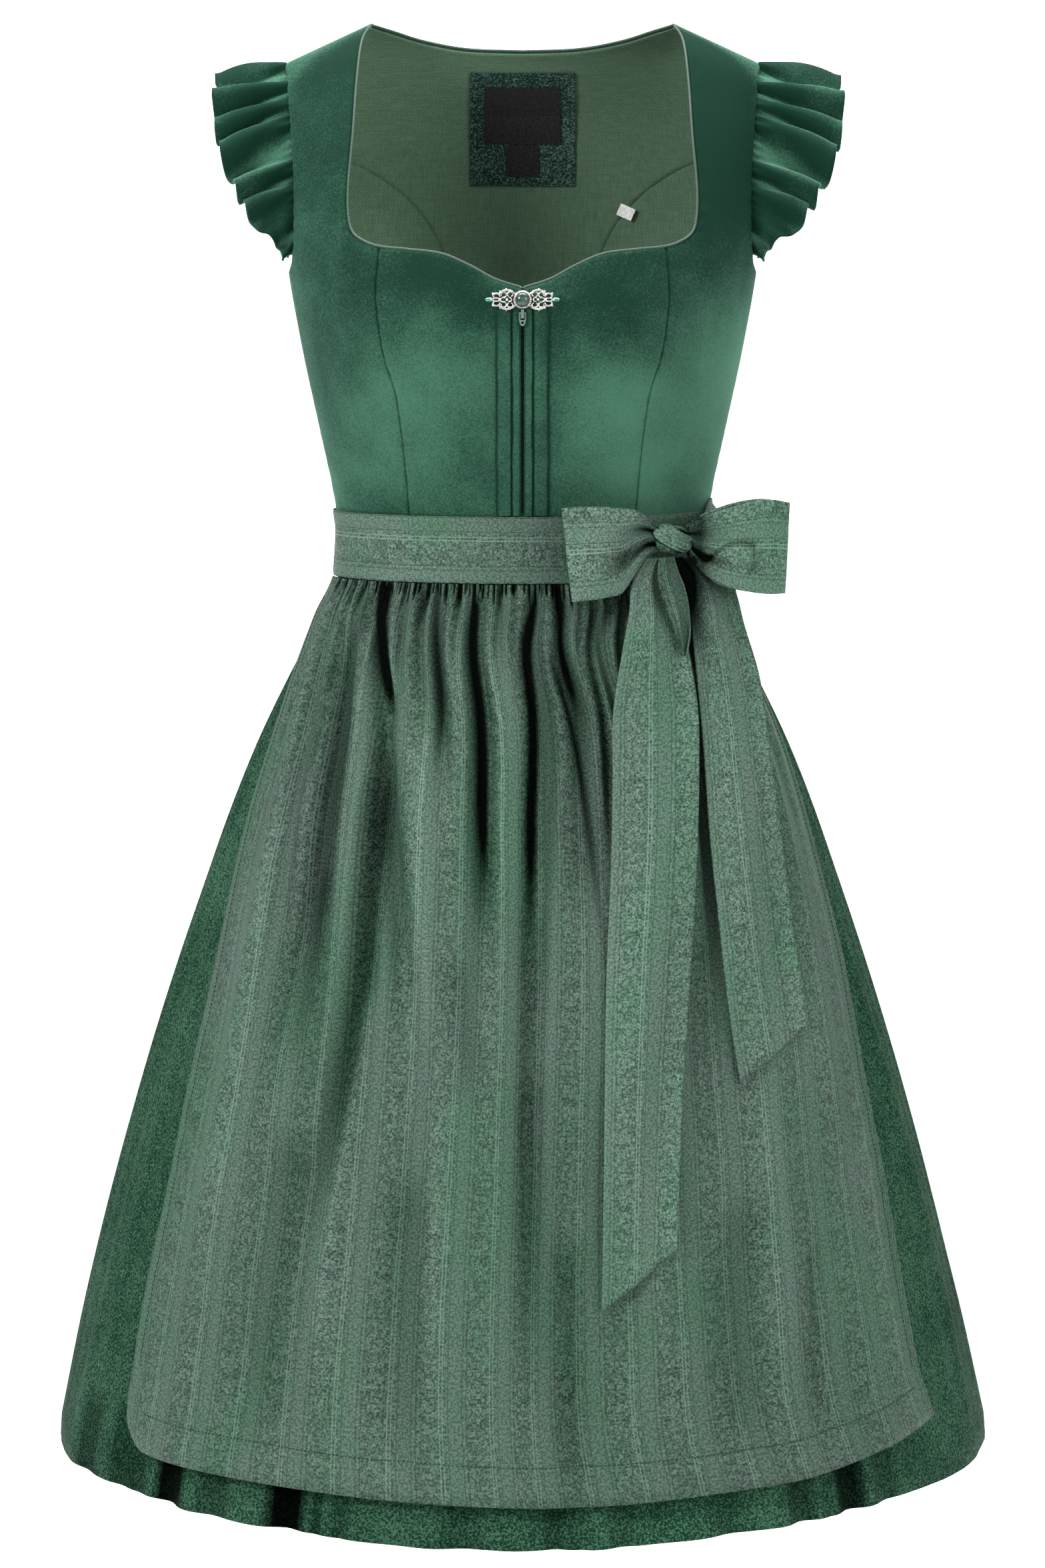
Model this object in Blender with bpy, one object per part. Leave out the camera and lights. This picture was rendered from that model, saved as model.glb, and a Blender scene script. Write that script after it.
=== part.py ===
"""Knee-length dirndl with its apron and bow, filled out as if worn. All sizes are in metres.

The origin is midway between the shoulders, where the straps hang on the wearer.
+Z is up, -Y is the front, and +X is the wearer's left, which is on the right in a front view.
Every cloth piece is a thin wall over a grid of points, and the grids come from the rings below.
"""

from collections import namedtuple
import math

import bmesh
import bpy
import numpy as np
from mathutils.bvhtree import BVHTree

# Walls and clearances
SEAM = 0.0003  # gap between pieces that are sewn to each other
VELVET = 0.0015  # bodice and sleeve wall
SKIRT_CLOTH = 0.0014
APRON_CLOTH = 0.0012
LINING = 0.0010

LINING_CLEAR = 0.0008  # from a panel's facets to the lining
TURN_GAP = 0.0018  # half a seam's gap, as a turn about the upright axis
SHOULDER_PLACE = 0.9996  # where the front and back stop short of the shoulder line
CLEAR_OF_MIDDLE = 0.00016  # half the gap between front and back pieces at the side and shoulder seams
SIDES = (("left", 1.0), ("right", -1.0))

# Heights, measured from the shoulders
WAIST = -0.3400  # seam between bodice and skirt
HEM = -0.9770
BAND_TOP = -0.3280
BAND_FOOT = -0.3730
APRON_HEM = -0.9480

# Shoulders
NECK_POINT = 0.1030  # half the width of the neck opening at the shoulder
SHOULDER_FALL = 0.46  # fall of the shoulder for each metre beyond the neck point

Ring = namedtuple("Ring", "place height half_width front back square")

# Rings of the bodice, place 0 at the waist seam and 1 on the shoulder line.
# The last ring mirrors the one before the shoulder, which makes the shoulder round.
BODICE = (
    Ring(0.00, WAIST, 0.1262, 0.0880, 0.0830, 2.00),
    Ring(0.07, -0.317, 0.1296, 0.0925, 0.0840, 2.03),
    Ring(0.20, -0.272, 0.1390, 0.1050, 0.0880, 2.12),
    Ring(0.37, -0.213, 0.1512, 0.1210, 0.0960, 2.25),
    Ring(0.52, -0.160, 0.1600, 0.1170, 0.1020, 2.30),
    Ring(0.68, -0.100, 0.1645, 0.0960, 0.1010, 2.30),
    Ring(0.82, -0.046, 0.1660, 0.0660, 0.0800, 2.30),
    Ring(0.92, -0.011, 0.1655, 0.0350, 0.0440, 2.30),
    Ring(1.00, 0.0000, 0.1650, 0.0000, 0.0000, 2.30),
    Ring(1.08, -0.011, 0.1655, -0.0350, -0.0440, 2.30),
)

# Rings of the skirt: the outermost line that its folds reach. Place 0 is at the waist seam, 1 at the hem.
SKIRT = (
    Ring(0.00, WAIST, 0.1262, 0.0880, 0.0830, 2.00),
    Ring(0.05, BAND_FOOT, 0.1278, 0.0895, 0.0860, 2.00),
    Ring(0.10, -0.400, 0.1405, 0.1000, 0.1010, 1.98),
    Ring(0.22, -0.480, 0.1800, 0.1300, 0.1400, 1.93),
    Ring(0.40, -0.595, 0.2235, 0.1680, 0.1790, 1.86),
    Ring(0.62, -0.735, 0.2690, 0.2150, 0.2150, 1.80),
    Ring(0.84, -0.875, 0.3060, 0.2620, 0.2420, 1.77),
    Ring(1.00, HEM, 0.3285, 0.2960, 0.2580, 1.76),
)

# Bust, shaped by the front seams: a soft fullness on each side of the centre.
BUST_REACH = 0.008
BUST_SIDE = 0.085
BUST_HEIGHT = -0.213
BUST_SPREAD_ACROSS = 0.042
BUST_SPREAD_UP = 0.048

# Neckline of one front, from the centre to the shoulder: distance from the centre, height.
NECKLINE = (
    (0.0000, -0.1770),
    (0.0186, -0.1710),
    (0.0354, -0.1620),
    (0.0536, -0.1545),
    (0.0745, -0.1518),
    (0.0950, -0.1497),
    (0.1060, -0.1460),
    (0.1135, -0.1400),
    (0.1165, -0.1290),
    (0.1168, -0.1090),
    (0.1140, -0.0750),
    (0.1120, -0.0400),
    (0.1090, -0.0120),
    (NECK_POINT, 0.0000),
)
NECK_CORNER = 5  # the point of the neckline where the front seam starts

# Neckline of the back, from the centre to the shoulder.
BACK_NECKLINE = (
    (0.000, -0.0163),
    (0.038, -0.0149),
    (0.068, -0.0098),
    (0.089, -0.0038),
    (NECK_POINT, 0.0000),
)

# Front seam over the bust: height, distance from the centre.
FRONT_SEAM = (
    (WAIST, 0.0755),
    (-0.299, 0.0783),
    (-0.271, 0.0810),
    (-0.243, 0.0852),
    (-0.2235, 0.0915),
    (-0.201, 0.0954),
    (-0.1793, 0.0972),
    (-0.160, 0.0958),
    (-0.1497, 0.0950),
)

# Curved back seam that runs into the armhole: height, distance from the centre.
BACK_SEAM = (
    (WAIST, 0.0520),
    (-0.272, 0.0490),
    (-0.200, 0.0510),
    (-0.167, 0.0535),
    (-0.1605, 0.0550),
    (-0.150, 0.0580),
    (-0.131, 0.0690),
    (-0.113, 0.0860),
    (-0.099, 0.1060),
    (-0.0900, 0.1270),
    (-0.0858, 0.1415),
    (-0.0830, 0.1545),
)

# Armhole: place on the bodice rings, distance from the centre.
UNDERARM = 0.50
ARMHOLE = (
    (UNDERARM, 0.1590),
    (0.505, 0.1583),
    (0.518, 0.1567),
    (0.545, 0.1553),
    (0.620, 0.1545),
    (0.700, 0.1550),
    (0.800, 0.1572),
    (0.900, 0.1598),
    (1.000, 0.1620),
)

# Places of more points between the neckline's own and over the back seam
FRONT_SHOULDER_ROWS = (0.70, 0.79, 0.87, 0.955)
BACK_SHOULDER_ROWS = (0.78, 0.83, 0.88, 0.92, 0.96)

# Piping round the neckline
PIPING_RADIUS = 0.0011
PIPING_CLEAR = 0.0005  # from the wall's edge to the piping

# Zip, tucks and brooch at the centre front
ZIP_HALF_GAP = 0.0014
TUCKS = (("inner", 0.0015, 0.0068, 0.0022), ("outer", 0.0071, 0.0176, 0.0019))  # edges, thickness
TUCK_CLEAR = 0.0005  # from the front's facets to the back of a tuck
TUCK_TOP = -0.1800
TUCK_FOOT = -0.3270
BROOCH_HEIGHT = -0.1838
BROOCH_STAND = 0.0034  # from the bodice to the back of the brooch, over the tucks
WING_CENTRE = 0.0135
GEM_CENTRE = 0.0222
STONE_RADIUS = 0.0046
BEZEL_RADIUS = 0.0060
PULL_HEIGHT = -0.1925
PULL_STAND = 0.0042  # from the bodice to the axis that the pull tab swings about
PULL_LENGTH = 0.0085
PULL_WIDTH = 0.0046
PULL_THICKNESS = 0.0008
TAPE = 0.0008
TAPE_CLEAR = 0.0009  # from the fronts' facets to the zip tape
ZIP_TOP = -0.1840
ZIP_FOOT = -0.3260
TAPE_HALF_WIDTH = 0.0110

# Sleeve ruffle: place 0 under the arm in front, 0.5 on the shoulder, 1 under the arm behind.
RUFFLE_WAVES = 14
RUFFLE_ROOT = 0.0019  # from the armhole's edge to the ruffle's first edge
RuffleRow = namedtuple("RuffleRow", "place width droop_deg lean")
RUFFLE = (
    RuffleRow(0.00, 0.006, 22, -0.30),
    RuffleRow(0.05, 0.012, 24, -0.30),
    RuffleRow(0.10, 0.022, 26, -0.28),
    RuffleRow(0.16, 0.034, 26, -0.25),
    RuffleRow(0.24, 0.043, 23, -0.20),
    RuffleRow(0.34, 0.049, 17, -0.12),
    RuffleRow(0.44, 0.049, 8, -0.04),
    RuffleRow(0.50, 0.044, 3, 0.00),
    RuffleRow(0.56, 0.049, 8, 0.04),
    RuffleRow(0.66, 0.049, 17, 0.12),
    RuffleRow(0.76, 0.043, 23, 0.20),
    RuffleRow(0.84, 0.034, 26, 0.25),
    RuffleRow(0.90, 0.022, 26, 0.28),
    RuffleRow(0.95, 0.012, 24, 0.30),
    RuffleRow(1.00, 0.006, 22, 0.30),
)

# Folds of the skirt
SKIRT_FOLDS = 30
SKIRT_SEAMS_DEG = (52, 128)  # the four skirt panels meet at these turns from the front, on both sides
SKIRT_GAP = 0.0016  # half the gap between two skirt panels, as a turn
SKIRT_PLACES = np.array([0.001, 0.05, 0.16, 0.38, 0.68, 1.0])
FoldDepth = namedtuple("FoldDepth", "place depth")
SKIRT_DEPTH = (
    FoldDepth(0.00, 0.0004),
    FoldDepth(0.06, 0.0020),
    FoldDepth(0.16, 0.0060),
    FoldDepth(0.45, 0.0095),
    FoldDepth(1.00, 0.0140),
)

# Apron: height, turn of its left and right edge from the front in degrees, how far its ridges stand out.
ApronRow = namedtuple("ApronRow", "height right_deg left_deg reach")
APRON = (
    ApronRow(-0.3736, -84, 84, 0.0028),
    ApronRow(-0.3850, -83, 83, 0.0060),
    ApronRow(-0.4100, -80, 80, 0.0120),
    ApronRow(-0.4600, -75, 76, 0.0150),
    ApronRow(-0.5300, -69, 71, 0.0145),
    ApronRow(-0.6200, -62, 66, 0.0115),
    ApronRow(-0.7200, -59, 62, 0.0090),
    ApronRow(-0.8400, -57, 58, 0.0080),
    ApronRow(APRON_HEM, -56, 58, 0.0080),
)
APRON_CLEAR = 0.0006  # from the skirt's ridges to the back of the apron

# Folds that hang from the apron's gathers: place across at the band and at the hem, from 0 at the
# wearer's right edge to 1 at the left; depth as a share of the reach; half width as a share of the
# apron's width; the heights at which the fold has started and has faded.
Fold = namedtuple("Fold", "top foot depth half_width start end")
APRON_FOLDS = (
    Fold(0.050, 0.080, 0.55, 0.016, -0.37, -0.62),
    Fold(0.112, 0.140, 0.65, 0.016, -0.37, -0.80),
    Fold(0.152, 0.165, 0.60, 0.010, -0.37, -0.47),
    Fold(0.186, 0.200, 0.80, 0.014, -0.37, -0.90),
    Fold(0.214, 0.225, 0.60, 0.009, -0.37, -0.46),
    Fold(0.247, 0.345, 1.00, 0.015, -0.37, -0.93),
    Fold(0.290, 0.300, 0.75, 0.010, -0.37, -0.47),
    Fold(0.326, 0.350, 0.70, 0.010, -0.37, -0.50),
    Fold(0.362, 0.370, 0.75, 0.010, -0.37, -0.56),
    Fold(0.392, 0.395, 0.60, 0.009, -0.37, -0.45),
    Fold(0.426, 0.422, 1.00, 0.013, -0.37, -0.74),
    Fold(0.462, 0.460, 0.65, 0.010, -0.37, -0.46),
    Fold(0.492, 0.485, 0.55, 0.009, -0.37, -0.45),
    Fold(0.527, 0.500, 1.00, 0.012, -0.37, -0.78),
    Fold(0.568, 0.590, 0.90, 0.012, -0.37, -0.54),
    Fold(0.604, 0.610, 0.65, 0.010, -0.37, -0.46),
    Fold(0.640, 0.640, 0.85, 0.012, -0.37, -0.53),
    Fold(0.682, 0.612, 1.00, 0.014, -0.37, -0.72),
    Fold(0.726, 0.705, 0.70, 0.012, -0.37, -0.50),
    Fold(0.770, 0.735, 0.85, 0.015, -0.37, -0.85),
    Fold(0.822, 0.800, 0.60, 0.014, -0.37, -0.55),
    Fold(0.876, 0.850, 0.65, 0.017, -0.37, -0.75),
    Fold(0.935, 0.920, 0.50, 0.018, -0.37, -0.60),
    Fold(0.270, 0.270, 0.55, 0.030, -0.62, -1.05),
    Fold(0.560, 0.560, 0.50, 0.028, -0.66, -1.05),
    Fold(0.880, 0.885, 0.60, 0.034, -0.66, -1.05),
)

# Apron outline: points near its side edges, the hem's swing and its rounded corner
APRON_CORNER_COLUMNS = (0.0, 0.006, 0.016, 0.030, 0.988, 1.0)
APRON_HEM_SWING = 0.012
APRON_ROUND = 0.034  # the rounded corner's width, as a share of the apron's
APRON_ROUND_RISE = 0.020

# Band over the apron's gathers: its outer face, from the waist
BAND_OUT = 0.0010 + APRON_CLOTH
BAND_END_DEG = 92  # the band reaches round to the sides, and the tie goes on from there
BAND_GAP = 0.0030  # half the gap between band and tie, as a turn

# Bow: the knot, and the height of each loop's edges over the knot from the knot (0) to its far end (1).
KNOT = np.array([0.1000, -0.0790, -0.3440])
KNOT_HALF = np.array([0.0130, 0.0095, 0.0108])
LoopRow = namedtuple("LoopRow", "out top foot open")
LOOP_RIGHT_END = (0.0262, -0.1175, -0.3440)
LOOP_RIGHT = (
    LoopRow(0.00, 0.0090, -0.0085, 0.0022),
    LoopRow(0.12, 0.0135, -0.0150, 0.0032),
    LoopRow(0.30, 0.0180, -0.0300, 0.0060),
    LoopRow(0.60, 0.0203, -0.0385, 0.0085),
    LoopRow(1.00, 0.0188, -0.0420, 0.0060),
)
LOOP_LEFT_END = (0.1800, -0.0480, -0.3440)
LOOP_LEFT = (
    LoopRow(0.00, 0.0090, -0.0085, 0.0022),
    LoopRow(0.10, 0.0141, -0.0200, 0.0032),
    LoopRow(0.28, 0.0190, -0.0291, 0.0060),
    LoopRow(0.55, 0.0240, -0.0356, 0.0095),
    LoopRow(0.78, 0.0256, -0.0380, 0.0090),
    LoopRow(1.00, 0.0230, -0.0384, 0.0060),
)

# Tails: height, distance of the middle from the centre, half width, distance in front of the apron.
Tail = namedtuple("Tail", "height middle half out")
LONG_TAIL = (
    Tail(-0.3556, 0.0920, 0.0085, 0.0070),
    Tail(-0.3710, 0.0879, 0.0144, 0.0068),
    Tail(-0.3900, 0.0886, 0.0176, 0.0060),
    Tail(-0.4140, 0.0884, 0.0219, 0.0050),
    Tail(-0.4550, 0.0883, 0.0284, 0.0040),
    Tail(-0.4940, 0.0882, 0.0288, 0.0035),
    Tail(-0.5400, 0.0871, 0.0285, 0.0032),
    Tail(-0.6300, 0.0822, 0.0275, 0.0030),
    Tail(-0.6900, 0.0793, 0.0258, 0.0030),
    Tail(-0.7940, 0.0757, 0.0246, 0.0030),
)
LONG_CUT = 0.036  # how much longer the slanted end is on one edge
SHORT_TAIL = (
    Tail(-0.3556, 0.1095, 0.0068, 0.0250),
    Tail(-0.3720, 0.1180, 0.0115, 0.0190),
    Tail(-0.4000, 0.1310, 0.0185, 0.0090),
    Tail(-0.4350, 0.1380, 0.0215, 0.0035),
    Tail(-0.4750, 0.1426, 0.0226, 0.0018),
    Tail(-0.5480, 0.1497, 0.0244, 0.0018),
    Tail(-0.6070, 0.1571, 0.0245, 0.0018),
    Tail(-0.6630, 0.1665, 0.0230, 0.0018),
)
SHORT_CUT = 0.031
FOLD_LEAF = (
    Tail(-0.3550, 0.0965, 0.0048, 0.0140),
    Tail(-0.3700, 0.0985, 0.0078, 0.0200),
    Tail(-0.3870, 0.1030, 0.0072, 0.0165),
    Tail(-0.4050, 0.1065, 0.0045, 0.0120),
    Tail(-0.4190, 0.1072, 0.0010, 0.0100),
)

TAIL_WAVE = 0.0020
TAIL_LEVELS = np.linspace(-1, 1, 5)
TAIL_SHARES = np.array([0, 0.05, 0.12, 0.22, 0.35, 0.50, 0.65, 0.80, 0.90, 1.0])

# Labels inside the back: a patch of skirt cloth that carries two of them, and a size tag
LABEL_CLEAR = 0.0004  # between the lining, the patch and the labels
PATCH = 0.0010
LABEL = 0.0006
PATCH_HALF_WIDTHS = (0.0365, 0.0265, 0.0115)
PATCH_HEIGHTS = (-0.1080, -0.1015, -0.0797, -0.0790, -0.0600, -0.0405, -0.0310)
Label = namedtuple("Label", "name inset first last")  # the columns and rows of the patch that it covers
LABELS = (
    Label("label_main", 1, 3, 6),
    Label("label_small", 2, 1, 3),
)
TAG_CORNER = (0.0690, -0.1200)
TAG_LENGTH = 0.0110
TAG_WIDTH = 0.0085
TAG_SLANT = math.radians(24)
TAG_LIFT = 0.0022  # how far its free end leans into the hollow
LINING_DEPTH = 0.090  # roughly, at the height of the labels

COLOURS = {
    "velvet": ((0.030, 0.110, 0.068), 0.75, 0.0),
    "skirt_cloth": ((0.030, 0.095, 0.060), 0.80, 0.0),
    "apron_cloth": ((0.085, 0.170, 0.120), 0.45, 0.0),
    "lining_cloth": ((0.055, 0.110, 0.065), 0.85, 0.0),
    "piping_cloth": ((0.100, 0.210, 0.150), 0.40, 0.0),
    "label_cloth": ((0.015, 0.014, 0.015), 0.80, 0.0),
    "tag_cloth": ((0.800, 0.800, 0.780), 0.70, 0.0),
    "silver": ((0.620, 0.600, 0.570), 0.30, 1.0),
    "green_stone": ((0.020, 0.110, 0.075), 0.12, 0.0),
    "zip_lacquer": ((0.020, 0.090, 0.060), 0.30, 0.0),
    "zip_tape": ((0.010, 0.035, 0.022), 0.85, 0.0),
}


def clear_scene():
    for obj in list(bpy.data.objects):
        bpy.data.objects.remove(obj)


def make_materials():
    for name, (colour, roughness, metallic) in COLOURS.items():
        material = bpy.data.materials.new(name)
        material.use_nodes = True
        shader = material.node_tree.nodes["Principled BSDF"]
        shader.inputs["Base Color"].default_value = (*colour, 1.0)
        shader.inputs["Roughness"].default_value = roughness
        shader.inputs["Metallic"].default_value = metallic


# Curves through tables


def smooth(places, values, at):
    """Cubic curve through the values at rising places, read at other places."""
    places = np.asarray(places, float)
    values = np.asarray(values, float)
    at = np.asarray(at, float)
    slopes = np.gradient(values, places)
    i = np.clip(np.searchsorted(places, at, side="right") - 1, 0, len(places) - 2)
    step = places[i + 1] - places[i]
    t = np.clip((at - places[i]) / step, 0.0, 1.0)
    start = (1 + 2 * t) * (1 - t) ** 2 * values[i] + t * (1 - t) ** 2 * step * slopes[i]
    end = t * t * (3 - 2 * t) * values[i + 1] - t * t * (1 - t) * step * slopes[i + 1]
    return start + end


def column(table, field, at):
    """One named column of a table whose first column is its place, read at other places."""
    rows = sorted(table, key=lambda row: row[0])
    return smooth([row[0] for row in rows], [getattr(row, field) for row in rows], at)


def ease(t):
    """0 below 0, 1 above 1, and smooth between."""
    t = np.clip(t, 0.0, 1.0)
    return t * t * (3 - 2 * t)


# Body of the garment


def rounded(value, square):
    return np.sign(value) * np.abs(value) ** (2.0 / square)


def ring_point(table, turn, place):
    """Point on a ring. Turn is 0 at the front centre and a quarter circle at the wearer's left."""
    turn, place = np.broadcast_arrays(np.asarray(turn, float), np.asarray(place, float))
    square = column(table, "square", place)
    front, back = column(table, "front", place), column(table, "back", place)
    depth = np.where(np.cos(turn) >= 0, front, back)
    across = column(table, "half_width", place) * rounded(np.sin(turn), square)
    forward = -depth * rounded(np.cos(turn), square)
    return np.stack([across, forward, column(table, "height", place)], axis=-1)


def bodice(turn, place):
    """Outer face of the bodice."""
    point = ring_point(BODICE, turn, place)
    side = (np.abs(point[..., 0]) - BUST_SIDE) / BUST_SPREAD_ACROSS
    rise = (point[..., 2] - BUST_HEIGHT) / BUST_SPREAD_UP
    in_front = np.clip(np.cos(turn), 0.0, 1.0)
    point[..., 1] -= BUST_REACH * np.exp(-(side**2) - rise**2) * in_front
    point[..., 2] -= shoulder_fall(point[..., 0], place)
    return point


def shoulder_fall(across, place):
    """How far the shoulder has fallen below the neck point; nothing below the armhole."""
    beyond = np.maximum(np.abs(across) - NECK_POINT, 0.0)
    return SHOULDER_FALL * beyond * ease((np.asarray(place, float) - 0.55) / 0.40)


def turn_at(across, place):
    """The front turn at which a bodice ring is this far from the centre."""
    half = column(BODICE, "half_width", place)
    share = np.clip(np.abs(across) / half, 0.0, 1.0)
    return np.arcsin(share ** (column(BODICE, "square", place) / 2.0)) * np.sign(across)


def place_at(across, height):
    """The place on the bodice rings that has this height, this far from the centre."""
    places = np.linspace(0.0, 1.0, 801)
    across, height = np.atleast_1d(across), np.atleast_1d(height)
    heights = column(BODICE, "height", places)
    found = [
        np.interp(h, heights - shoulder_fall(np.full_like(places, x), places), places)
        for x, h in zip(across, height)
    ]
    return np.array(found)


def edge_table(points):
    """(distance, height) pairs turned into places and distances."""
    across = np.array([p[0] for p in points])
    height = np.array([p[1] for p in points])
    return place_at(across, height), across


def armhole_turn(place):
    """Turn of the armhole's edge above the underarm, and of the side seam below it."""
    place = np.asarray(place, float)
    across = smooth([row[0] for row in ARMHOLE], [row[1] for row in ARMHOLE], place)
    turn = turn_at(across, place)
    return np.where(place <= UNDERARM + 1e-6, math.pi / 2, turn)


def normals(points):
    """Unit normals of a grid whose first index runs towards the wearer's left and second one up."""
    across = np.gradient(points, axis=0)
    up = np.gradient(points, axis=1)
    normal = np.cross(across, up)
    return normal / np.linalg.norm(normal, axis=-1, keepdims=True)


# Meshes


def new_object(name, points, faces, material, smooth_faces=True):
    mesh = bpy.data.meshes.new(name)
    mesh.from_pydata([tuple(map(float, p)) for p in points], [], faces)
    mesh.validate()
    if smooth_faces:
        mesh.shade_smooth()
        mesh.set_sharp_from_angle(angle=math.radians(50))
    mesh.materials.append(bpy.data.materials[material])
    obj = bpy.data.objects.new(name, mesh)
    bpy.context.scene.collection.objects.link(obj)
    return obj


def slab(name, outer, inner, material):
    """Closed wall between two grids of the same shape."""
    across, up = outer.shape[:2]
    index = np.arange(across * up).reshape(across, up)
    behind = index + across * up
    faces = []
    for i in range(across - 1):
        for j in range(up - 1):
            faces.append((index[i, j], index[i + 1, j], index[i + 1, j + 1], index[i, j + 1]))
            faces.append((behind[i, j], behind[i, j + 1], behind[i + 1, j + 1], behind[i + 1, j]))
    for i in range(across - 1):
        faces.append((index[i, 0], behind[i, 0], behind[i + 1, 0], index[i + 1, 0]))
        faces.append((index[i, -1], index[i + 1, -1], behind[i + 1, -1], behind[i, -1]))
    for j in range(up - 1):
        faces.append((index[0, j], index[0, j + 1], behind[0, j + 1], behind[0, j]))
        faces.append((index[-1, j], behind[-1, j], behind[-1, j + 1], index[-1, j + 1]))
    points = np.concatenate([outer.reshape(-1, 3), inner.reshape(-1, 3)])
    faces = [tuple(int(k) for k in face) for face in faces]
    return new_object(name, points, faces, material)


def cloth(name, points, thickness, material, outside=1.0):
    """Wall of cloth behind a grid. Outside is 1 if the grid is the outer face, 0.5 if the middle."""
    normal = normals(points)
    outer = points + normal * thickness * (1.0 - outside)
    return slab(name, outer, outer - normal * thickness, material)


def tube(name, line, radius, material):
    """Round cord through a line of points."""
    curve = bpy.data.curves.new(name, "CURVE")
    curve.dimensions = "3D"
    spline = curve.splines.new("POLY")
    spline.points.add(len(line) - 1)
    for point, where in zip(spline.points, line):
        point.co = (*map(float, where), 1.0)
    curve.bevel_depth = radius
    curve.bevel_resolution = 1
    curve.use_fill_caps = True
    curve.materials.append(bpy.data.materials[material])
    obj = bpy.data.objects.new(name, curve)
    bpy.context.scene.collection.objects.link(obj)
    return obj


def box(name, low, high, material):
    low, high = np.minimum(low, high), np.maximum(low, high)
    points = [(x, y, z) for x in (low[0], high[0]) for y in (low[1], high[1]) for z in (low[2], high[2])]
    faces = [(0, 1, 3, 2), (4, 6, 7, 5), (0, 4, 5, 1), (2, 3, 7, 6), (0, 2, 6, 4), (1, 5, 7, 3)]
    return new_object(name, points, faces, material, smooth_faces=False)


# Bodice panels


def wall(name, turn, place, near, far, material, side=1.0, clear=0.0):
    """Wall over bodice points, from near to far behind the outer face; negative is in front of it.

    Clear is -1 for a front piece and 1 for a back piece, which keeps both off the seam between them.
    """
    outer, inner = behind_bodice(turn, place, near), behind_bodice(turn, place, far)
    for grid in (outer, inner):
        if clear:
            grid[..., 1] = clear * np.maximum(clear * grid[..., 1], CLEAR_OF_MIDDLE)
    if side < 0:
        outer, inner = ((grid * np.array([-1.0, 1.0, 1.0]))[::-1] for grid in (outer, inner))
    slab(name, outer, inner, material)


def behind_bodice(turn, place, distance):
    """Points at a distance behind the bodice's outer face."""
    turn, place = np.broadcast_arrays(np.asarray(turn, float), np.asarray(place, float))
    point = bodice(turn, place)
    return point - bodice_normal(turn, place) * np.asarray(distance)[..., None]


def bodice_normal(turn, place):
    """Unit normal of the bodice's outer face, from its slopes across and up."""
    step = 2e-4
    across = bodice(turn + step, place) - bodice(turn - step, place)
    up = bodice(turn, place + step) - bodice(turn, place - step)
    normal = np.cross(across, up)
    return normal / np.linalg.norm(normal, axis=-1, keepdims=True)


def front_seam_turn(place):
    across = smooth([r[0] for r in FRONT_SEAM], [r[1] for r in FRONT_SEAM], heights_of(place))
    return turn_at(across, place)


def heights_of(place):
    return column(BODICE, "height", place)


def seam_rows():
    """Places of the points on the front seam, shared by the panels on both sides of it."""
    corner = edge_table(NECKLINE)[0][NECK_CORNER]
    low = np.array([0, 0.17, 0.34, 0.50, 0.66, 0.80]) * corner
    return np.concatenate([low, [UNDERARM, 0.518, corner]])


def front_centre():
    """Turns and places from the zip to the front seam, up to the neckline."""
    places, across = edge_table(NECKLINE[: NECK_CORNER + 1])
    across = np.maximum(across, ZIP_HALF_GAP)
    zip_edge = turn_at(np.full_like(places, ZIP_HALF_GAP), places)
    seam = front_seam_turn(places) - TURN_GAP
    share = (turn_at(across, places) - zip_edge) / (seam - zip_edge)
    share[-1] = 1.0
    place = places[:, None] * (seam_rows() / places[-1])[None, :]
    near = turn_at(np.full_like(place, ZIP_HALF_GAP), place)
    far = front_seam_turn(place) - TURN_GAP
    return near + (far - near) * share[:, None], place


def side_front():
    """Turns and places from the front seam and the neckline to the side seam and the armhole."""
    places, across = edge_table(NECKLINE[NECK_CORNER:])
    places = np.minimum(places, SHOULDER_PLACE)
    rows = np.sort(np.concatenate([seam_rows(), places[1:], FRONT_SHOULDER_ROWS]))
    neck = turn_at(np.interp(rows, places, across), rows)
    near = np.where(rows < places[0] + 1e-9, front_seam_turn(rows), neck) + TURN_GAP
    far = armhole_turn(rows) - TURN_GAP
    share = np.linspace(0, 1, 6)[:, None]
    return near + (far - near) * share, rows[None, :] + share * 0


def back_seam_rows():
    """Places of the points on the curved back seam, shared by the panels on both sides of it."""
    rows = np.array([place_at(across, height)[0] for height, across in BACK_SEAM])
    rows[np.argmin(np.abs(rows - UNDERARM))] = UNDERARM
    return rows


def back_seam_turn(place):
    rows = back_seam_rows()
    across = np.interp(place, rows, [across for height, across in BACK_SEAM])
    return math.pi - turn_at(across, place)


def back_seam_gap(place):
    """Half the seam's gap as a turn, wider where the seam runs level, so that it stays as wide across."""
    rise, run = np.gradient(np.array(BACK_SEAM), axis=0).T
    level = np.clip(np.hypot(rise, run) / np.abs(rise), 1.0, 6.0)
    return TURN_GAP * np.interp(place, back_seam_rows(), level)


def back_centre_edge(place):
    """Back seam, and above its end the armhole."""
    seam_end = back_seam_rows()[-1]
    armhole = math.pi - armhole_turn(place) + TURN_GAP
    seam = back_seam_turn(np.minimum(place, seam_end)) + back_seam_gap(place)
    return np.where(place < seam_end + 1e-9, np.maximum(seam, armhole), armhole)


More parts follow.
